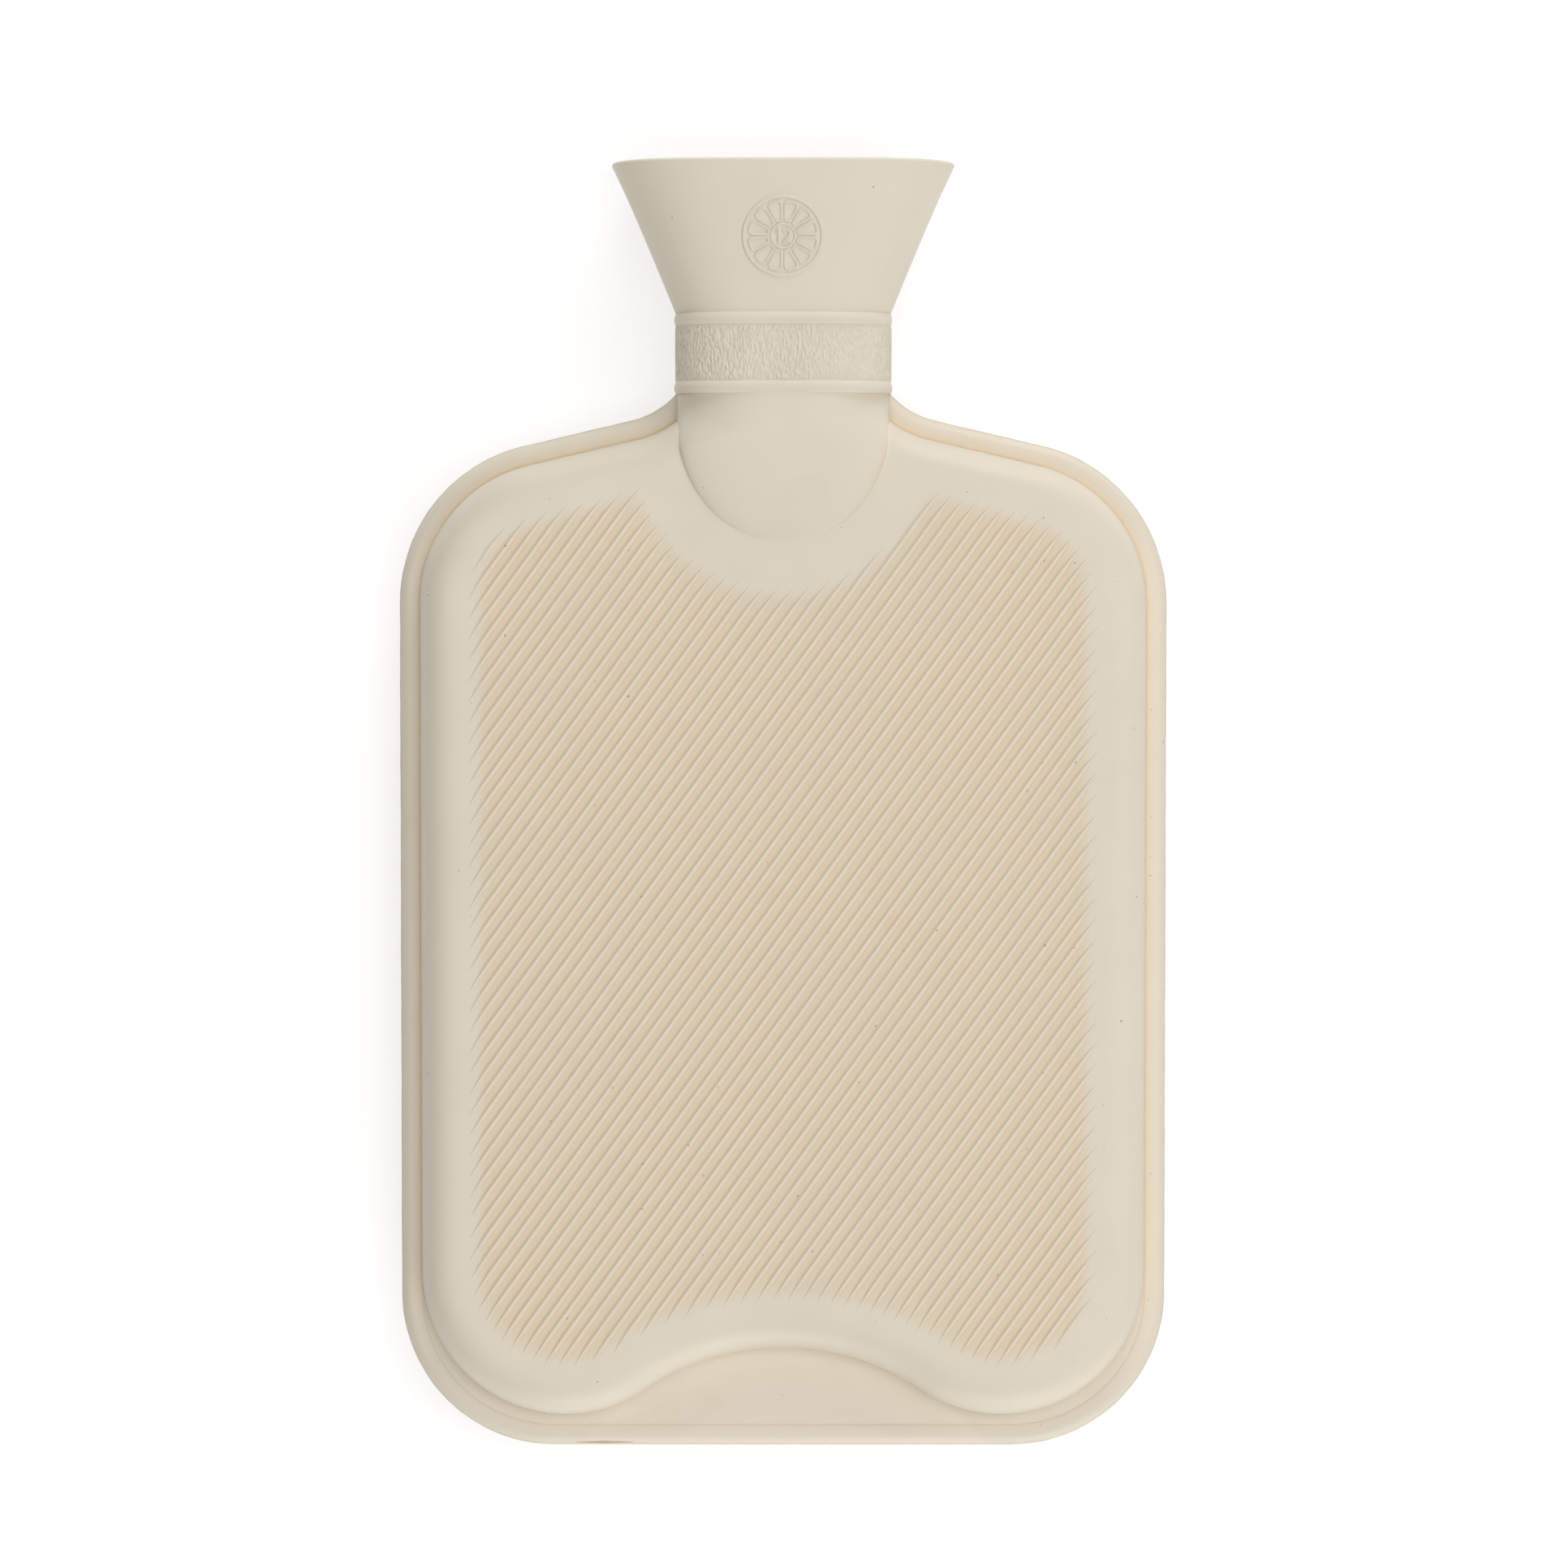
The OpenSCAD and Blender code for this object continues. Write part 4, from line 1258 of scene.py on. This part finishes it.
class BOTTLE_OT_collar_grain(bpy.types.Operator):
    """Wraps the wrinkled band round the collar, between its two beads"""
    bl_idname = "bottle.collar_grain"
    bl_label = "Collar grain"

    def execute(self, context):
        details = context.scene.bottle_details
        plan = Plan(context.scene.bottle_sizes)
        spacing = 0.15 * MM
        row_spacing = 0.32 * MM
        sink = 0.5 * MM
        front = half_oval(plan.band_width, plan.front().neck_depth, 2000)
        back = half_oval(plan.band_width, plan.back().neck_depth, 2000) * [1, -1]
        loop = np.concatenate([front, back[::-1][1:]])
        loop = even(loop, spacing)[:-1]
        inner = loop * (1 - sink / plan.band_width)
        foot = plan.collar_height + plan.collar_bead - 0.4 * MM
        top = plan.collar_top - plan.collar_bead + 0.4 * MM
        rows = np.linspace(foot, top, round((top - foot) / row_spacing) + 1)
        rings = [np.column_stack([loop[:, 0], np.full(len(loop), y), loop[:, 1]]) for y in rows]
        rings += [np.column_stack([inner[:, 0], np.full(len(loop), y), inner[:, 1]])
                  for y in (top, foot)]
        count = len(loop)
        faces = []
        for r in range(len(rings)):
            s = (r + 1) % len(rings)
            for i in range(count):
                j = (i + 1) % count
                faces.append((r * count + i, r * count + j, s * count + j, s * count + i))
        piece = outward(new_piece("collar_grain", in_frame(np.concatenate(rings)), faces))
        places = vertices(piece)
        up = places[:, 1] - BOTTOM
        edge = np.clip(np.minimum(up - foot, top - up) / (0.9 * MM), 0, 1)
        mark(piece, "skin", edge)
        material = finish_named("rubber_finish")
        run_tree(piece, grain_tree(), {
            "Height": details.grain_height, "Across": 0.8 * MM, "Along": 2.4 * MM,
            "Material": material})
        ready(piece, material, "bottle", "natural_rubber")
        return {"FINISHED"}


def line_tree():
    """A raised line along a drawn path, repeated at even turns about the middle."""
    graph, given = geometry_graph("raised_lines", {
        "Width": "Float", "Height": "Float", "Copies": "Int", "Material": "Material"})
    curve = graph.node("GeometryNodeMeshToCurve", inputs=[given["Geometry"]])
    upright = graph.node("GeometryNodeSetCurveNormal", {"mode": "Z_UP"},
                         {"Curve": curve.outputs[0]})
    circle = graph.node("GeometryNodeCurvePrimitiveCircle", inputs={"Resolution": 10, "Radius": 1.0})
    profile = graph.node("GeometryNodeTransform", inputs={
        "Geometry": circle.outputs[0],
        "Scale": graph.vector(Number(graph, given["Width"]) * 0.5, given["Height"], 1.0)})
    tube = graph.node("GeometryNodeCurveToMesh", inputs={
        "Curve": upright.outputs[0], "Profile Curve": profile.outputs[0], "Fill Caps": True})
    points = graph.node("GeometryNodeMeshLine", inputs={
        "Count": given["Copies"], "Offset": (0.0, 0.0, 0.0)})
    turn = graph.number("GeometryNodeInputIndex") * (2 * math.pi) / given["Copies"]
    copies = graph.node("GeometryNodeInstanceOnPoints", inputs={
        "Points": points.outputs[0], "Instance": tube.outputs[0],
        "Rotation": graph.vector(0.0, 0.0, turn)})
    return close_tree(graph, copies.outputs[0], given["Material"])


def drawn_line(name, path, closed, width, height, copies, tree, material):
    """A raised line along a path on the flat, with its copies."""
    count = len(path)
    edges = [(i, (i + 1) % count) for i in range(count if closed else count - 1)]
    mesh = bpy.data.meshes.new(name)
    mesh.from_pydata([(x, y, 0.0) for x, y in path], edges, [])
    piece = bpy.data.objects.new(name, mesh)
    bpy.context.scene.collection.objects.link(piece)
    return run_tree(piece, tree, {
        "Width": width, "Height": height, "Copies": copies, "Material": material})


def join(name, pieces):
    """Joins several meshes into one new piece."""
    work = bmesh.new()
    for piece in pieces:
        work.from_mesh(piece.data)
        bpy.data.objects.remove(piece)
    mesh = bpy.data.meshes.new(name)
    work.to_mesh(mesh)
    work.free()
    joined = bpy.data.objects.new(name, mesh)
    bpy.context.scene.collection.objects.link(joined)
    return joined


class BOTTLE_OT_dial(bpy.types.Operator):
    """Moulds the dial with its ring of cells and a plain number on the front of the funnel"""
    bl_idname = "bottle.dial"
    bl_label = "Dial"

    def execute(self, context):
        sizes = context.scene.bottle_sizes
        details = context.scene.bottle_details
        plan = Plan(sizes)
        radius = details.wheel_radius
        line = details.line_width
        rise = 0.38 * MM
        middle = np.array([-0.1 * MM, 314.1 * MM])
        material = finish_named("rubber_finish")
        tree = line_tree()

        def ring(name, share, width):
            path = arc((0, 0), radius * share, 0, 2 * math.pi, 96)[:-1]
            return drawn_line(name, path, True, width, rise, 1, tree, material)

        near, far, corner = radius * 0.39, radius * 0.875, radius * 0.09
        step = 2 * math.pi / details.wheel_cells

        def reach(r):
            """Half the angle that a cell covers at a radius, beside a gap of even width."""
            return step / 2 - line * 0.74 / r

        bend = far - corner
        half = reach(bend) - corner / bend
        outer = arc((0, 0), far, -half, half, 8)
        upper = arc((bend * math.cos(half), bend * math.sin(half)), corner, half,
                    half + math.pi / 2, 4)
        inner = arc((0, 0), near, reach(near), -reach(near), 4)
        turn = step / 2
        cell = np.concatenate([outer, upper[1:], inner, upper[:0:-1] * [1, -1]])
        turned_by = np.array([[math.cos(turn), math.sin(turn)], [-math.sin(turn), math.cos(turn)]])
        parts = [
            ring("outer_ring", 1.0, 1.6 * line),
            ring("inner_ring", 0.305, line),
            drawn_line("cells", cell @ turned_by, True, line, rise, details.wheel_cells, tree,
                       material)]
        tall = radius * 0.165
        one = np.array([[-1.15, 0.55], [-0.75, 1.0], [-0.75, -1.0]])
        two = np.concatenate([arc((0.45, 0.42), 0.56, math.radians(165), math.radians(-35), 9),
                              [[-0.15, -1.0], [1.1, -1.0]]])
        parts += [drawn_line("digit", shape * tall, False, 0.8 * line, 1.2 * rise, 1, tree,
                             material)
                  for shape in (one, two)]

        dots = [(1.5, 0.52 + 0.085 * row, side) for row in range(4) for side in (-0.10, 0.10)][:7]
        dots.append((2.5, 0.62, 0.05))
        for which, share, side in dots:
            angle = math.pi / 2 - which * step + side
            dot = bpy.data.meshes.new("dot")
            ball = bmesh.new()
            bmesh.ops.create_icosphere(ball, subdivisions=2, radius=0.20 * MM)
            bmesh.ops.translate(ball, verts=ball.verts, vec=(
                radius * share * math.cos(angle), radius * share * math.sin(angle), 0.02 * MM))
            ball.to_mesh(dot)
            ball.free()
            part = bpy.data.objects.new("dot", dot)
            bpy.context.scene.collection.objects.link(part)
            parts.append(part)

        piece = join("funnel_dial", parts)
        places = vertices(piece).astype(float)
        flat = places[:, :2] + middle
        half = plan.front()
        widths, depths = np.array([plan.neck(y, half.neck_depth, half.lip_depth, half.bead_step)
                                   for y in flat[:, 1]]).T
        share = np.clip(np.abs(flat[:, 0]) / widths, 0, 0.999)
        surface = depths * (1 - share ** OVAL_FULLNESS) ** (1 / OVAL_FULLNESS)
        placed = in_frame(np.column_stack([flat, surface + places[:, 2] - 0.05 * MM]))
        piece.data.vertices.foreach_set("co", placed.astype(np.float32).ravel())
        outward(piece)
        smooth(piece, 60)
        ready(piece, material, "bottle", "natural_rubber")
        return {"FINISHED"}


# Bush and stopper

def threaded(name, rows, radii, closing, pitch, depth, columns=144):
    """Turned piece with a right-hand thread: radii are the crests, cut to the depth at the roots.

    rows are heights along the thread and closing is the rest of the outline, as (radius, y).
    """
    angles = np.linspace(0, 2 * math.pi, columns, endpoint=False)
    rings = []
    for angle in angles:
        phase = (rows / pitch + angle / (2 * math.pi)) % 1
        groove = np.clip((np.abs(phase - 0.5) - 0.17) / 0.14, 0, 1)
        fade = np.clip(np.minimum(rows - rows[0], rows[-1] - rows) / (0.35 * pitch), 0, 1)
        radius = radii + depth * (1 - groove) * fade
        outline = np.concatenate([np.column_stack([radius, rows]), closing])
        rings.append(np.column_stack([outline[:, 0] * math.cos(angle), outline[:, 1],
                                      outline[:, 0] * math.sin(angle)]))
    count = len(rings[0])
    faces = []
    for r in range(columns):
        s = (r + 1) % columns
        for i in range(count):
            j = (i + 1) % count
            faces.append((r * count + i, r * count + j, s * count + j, s * count + i))
    return outward(new_piece(name, in_frame(np.concatenate(rings)), faces))


class BOTTLE_OT_bush(bpy.types.Operator):
    """Turns the brass bush in the neck, with its inner thread"""
    bl_idname = "bottle.bush"
    bl_label = "Neck bush"

    def execute(self, context):
        details = context.scene.bottle_details
        foot, top = BUSH_LOW.y - BOTTOM, BUSH_HIGH.y - BOTTOM
        outline = bush_outline(0, False)
        bore = outline[0][0]
        rows = np.linspace(foot + 0.4 * MM, top - 0.4 * MM, 64)
        radii = np.full(len(rows), bore)
        closing = [(bore + 0.4 * MM, top)] + outline[-2:0:-1] + [(bore + 0.4 * MM, foot)]
        piece = threaded("neck_thread", rows, radii, closing, details.thread_pitch, 1.2 * MM)
        smooth(piece, 30)
        ready(piece, finish_named("brass_finish"), "bottle", "bush_brass", "neck_bush")
        return {"FINISHED"}


class BOTTLE_OT_screw(bpy.types.Operator):
    """Turns the stopper's screw, with its thread, flange and socket"""
    bl_idname = "bottle.screw"
    bl_label = "Stopper screw"

    def execute(self, context):
        details = context.scene.bottle_details
        low, top = SCREW_LOW.y - BOTTOM, SCREW_HIGH.y - BOTTOM
        flange_radius = (SCREW_HIGH.x - SCREW_LOW.x) / 2
        flange_foot = WASHER_HIGH.y - BOTTOM
        shank = 10.4 * MM
        socket, socket_floor = 6 * MM, top - 9 * MM
        rows = np.linspace(low + 1.6 * MM, flange_foot, 64)
        edge = 0.8 * MM
        closing = [
            (flange_radius - edge, flange_foot),
            (flange_radius - 0.25 * edge, flange_foot + 0.25 * edge),
            (flange_radius, flange_foot + edge),
            (flange_radius, top - edge),
            (flange_radius - 0.25 * edge, top - 0.25 * edge),
            (flange_radius - edge, top),
            (socket, top), (socket, socket_floor), (0, socket_floor), (0, low),
            (shank - 2 * MM, low)]
        piece = threaded("screw_thread", rows, np.full(len(rows), shank), closing,
                         details.thread_pitch, -1.1 * MM)
        smooth(piece, 30)
        ready(piece, finish_named("plastic_finish"), "stopper", "stopper_plastic",
              "stopper_screw")
        return {"FINISHED"}


class BOTTLE_OT_grip(bpy.types.Operator):
    """Models the stopper's finger ring with its stem and disc"""
    bl_idname = "bottle.grip"
    bl_label = "Stopper grip"

    def execute(self, context):
        low, top = GRIP_LOW.y - BOTTOM, GRIP_HIGH.y - BOTTOM
        disc_foot = SCREW_HIGH.y - BOTTOM
        section = 3.5 * MM
        ring_radius = (GRIP_HIGH.x - GRIP_LOW.x) / 2 - section
        middle = top - ring_radius - section
        stem = 5.95 * MM
        disc = 7.55 * MM
        piece = turned("grip_ring", [
            (0, low), (stem - 0.4 * MM, low), (stem, low + 0.4 * MM), (stem, disc_foot),
            (disc - 0.3 * MM, disc_foot), (disc, disc_foot + 0.3 * MM),
            (disc, disc_foot + 1.1 * MM), (disc - 0.4 * MM, disc_foot + 1.5 * MM),
            (5.2 * MM, disc_foot + 1.9 * MM), (4.4 * MM, disc_foot + 3.2 * MM),
            (4.2 * MM, disc_foot + 4.4 * MM), (0, disc_foot + 5.2 * MM)])
        sides = 32
        steps = 96
        points = []
        faces = []
        for i in range(steps):
            a = 2 * math.pi * i / steps
            for j in range(sides):
                b = 2 * math.pi * j / sides
                reach = ring_radius + section * math.cos(b)
                points.append((reach * math.cos(a), middle + reach * math.sin(a),
                               section * math.sin(b)))
                k, m = (i + 1) % steps, (j + 1) % sides
                faces.append((i * sides + j, k * sides + j, k * sides + m, i * sides + m))
        ring = outward(new_piece("ring", in_frame(np.array(points)), faces))
        combine(piece, "UNION", [ring])
        smooth(piece, 35)
        ready(piece, finish_named("plastic_finish"), "stopper", "stopper_plastic",
              "stopper_grip")
        return {"FINISHED"}


class BOTTLE_OT_washer(bpy.types.Operator):
    """Models the stopper's sealing washer with its rounded edges"""
    bl_idname = "bottle.washer"
    bl_label = "Washer"

    def execute(self, context):
        foot, top = WASHER_LOW.y - BOTTOM, WASHER_HIGH.y - BOTTOM
        outer = (WASHER_HIGH.x - WASHER_LOW.x) / 2
        inner = 10.6 * MM
        edge = 0.5 * MM
        profile = []
        for x, y, start in ((inner, foot, 180), (outer, foot, 270), (outer, top, 0), (inner, top, 90)):
            across = edge if x == inner else -edge
            up = edge if y == foot else -edge
            profile += [tuple(p) for p in arc((x + across, y + up), edge, math.radians(start),
                                              math.radians(start + 90), 5)]
        piece = smooth(turned("sealing_ring", profile), 50)
        ready(piece, finish_named("washer_finish"), "washer", "washer_rubber", "stopper_washer")
        return {"FINISHED"}


class BOTTLE_OT_stage(bpy.types.Operator):
    """Sets the pale floor, the soft lights and the camera"""
    bl_idname = "bottle.stage"
    bl_label = "Stage"

    def execute(self, context):
        looks = context.scene.bottle_colours
        material, graph, shader = material_graph("floor_white")
        feed(graph, shader, Base_Color=(0.45, 0.45, 0.45, 1.0), Roughness=0.9,
             Specular_IOR_Level=0.1, Emission_Color=(1.0, 1.0, 1.0, 1.0), Emission_Strength=0.62)
        reach = 6.0
        floor = new_piece("floor", [(-reach, -reach, 0), (reach, -reach, 0), (reach, reach, 0),
                                    (-reach, reach, 0)], [(0, 1, 2, 3)])
        floor.data.materials.append(material)

        def area(name, place, size, power):
            light = bpy.data.lights.new(name, "AREA")
            light.energy = power
            light.size = size
            lamp = bpy.data.objects.new(name, light)
            lamp.location = place
            lamp.rotation_euler = (-Vector(place)).to_track_quat("-Z", "Y").to_euler()
            context.scene.collection.objects.link(lamp)

        area("overhead_light", (0.2, 0.0, 3.4), 2.4, looks.overhead_power)
        area("right_light", (1.0, -0.1, 1.15), 0.9, looks.right_power)
        area("mouth_light", (0.3, 1.7, 0.65), 1.1, looks.strip_power * 1.15)
        area("foot_light", (0.3, -1.7, 0.65), 1.1, looks.strip_power)
        world = bpy.data.worlds.new("studio")
        world.use_nodes = True
        world.node_tree.nodes["Background"].inputs["Color"].default_value = (1.0, 1.0, 1.0, 1.0)
        world.node_tree.nodes["Background"].inputs["Strength"].default_value = looks.sky
        context.scene.world = world

        distance = 3.0
        view_width = 0.4088
        lens = bpy.data.cameras.new("camera")
        lens.sensor_width = 36.0
        lens.lens = 36.0 * distance / view_width
        lens.clip_end = 50.0
        camera = bpy.data.objects.new("camera", lens)
        camera.location = (0.0002, 0.0050, SEAM + distance)
        context.scene.collection.objects.link(camera)
        context.scene.camera = camera
        context.scene.view_settings.view_transform = "Standard"
        return {"FINISHED"}


class BOTTLE_PT_panel(bpy.types.Panel):
    """Lists the steps that build the bottle"""
    bl_label = "Hot water bottle"
    bl_space_type = "VIEW_3D"
    bl_region_type = "UI"
    bl_category = "Bottle"

    def draw(self, context):
        for group in ("bottle_sizes", "bottle_ribs", "bottle_details", "bottle_colours"):
            values = getattr(context.scene, group)
            box = self.layout.box()
            for name in values.__annotations__:
                box.prop(values, name)
        for step in STEPS:
            self.layout.operator(step.bl_idname)


STEPS = (
    BOTTLE_OT_finishes,
    BOTTLE_OT_front_half,
    BOTTLE_OT_back_half,
    BOTTLE_OT_ribs,
    BOTTLE_OT_seam,
    BOTTLE_OT_collar_grain,
    BOTTLE_OT_dial,
    BOTTLE_OT_bush,
    BOTTLE_OT_screw,
    BOTTLE_OT_grip,
    BOTTLE_OT_washer,
    BOTTLE_OT_stage,
)
GROUPS = {
    "bottle_sizes": BottleSizes,
    "bottle_ribs": RibSizes,
    "bottle_details": DetailSizes,
    "bottle_colours": BottleColours,
}


def register():
    for name, group in GROUPS.items():
        bpy.utils.register_class(group)
        setattr(bpy.types.Scene, name, PointerProperty(type=group))
    for step in STEPS:
        bpy.utils.register_class(step)
    bpy.utils.register_class(BOTTLE_PT_panel)


def unregister():
    bpy.utils.unregister_class(BOTTLE_PT_panel)
    for step in reversed(STEPS):
        bpy.utils.unregister_class(step)
    for name, group in reversed(GROUPS.items()):
        delattr(bpy.types.Scene, name)
        bpy.utils.unregister_class(group)


def main():
    register()
    for step in STEPS:
        family, name = step.bl_idname.split(".")
        getattr(getattr(bpy.ops, family), name)()


if __name__ == "__main__":
    main()
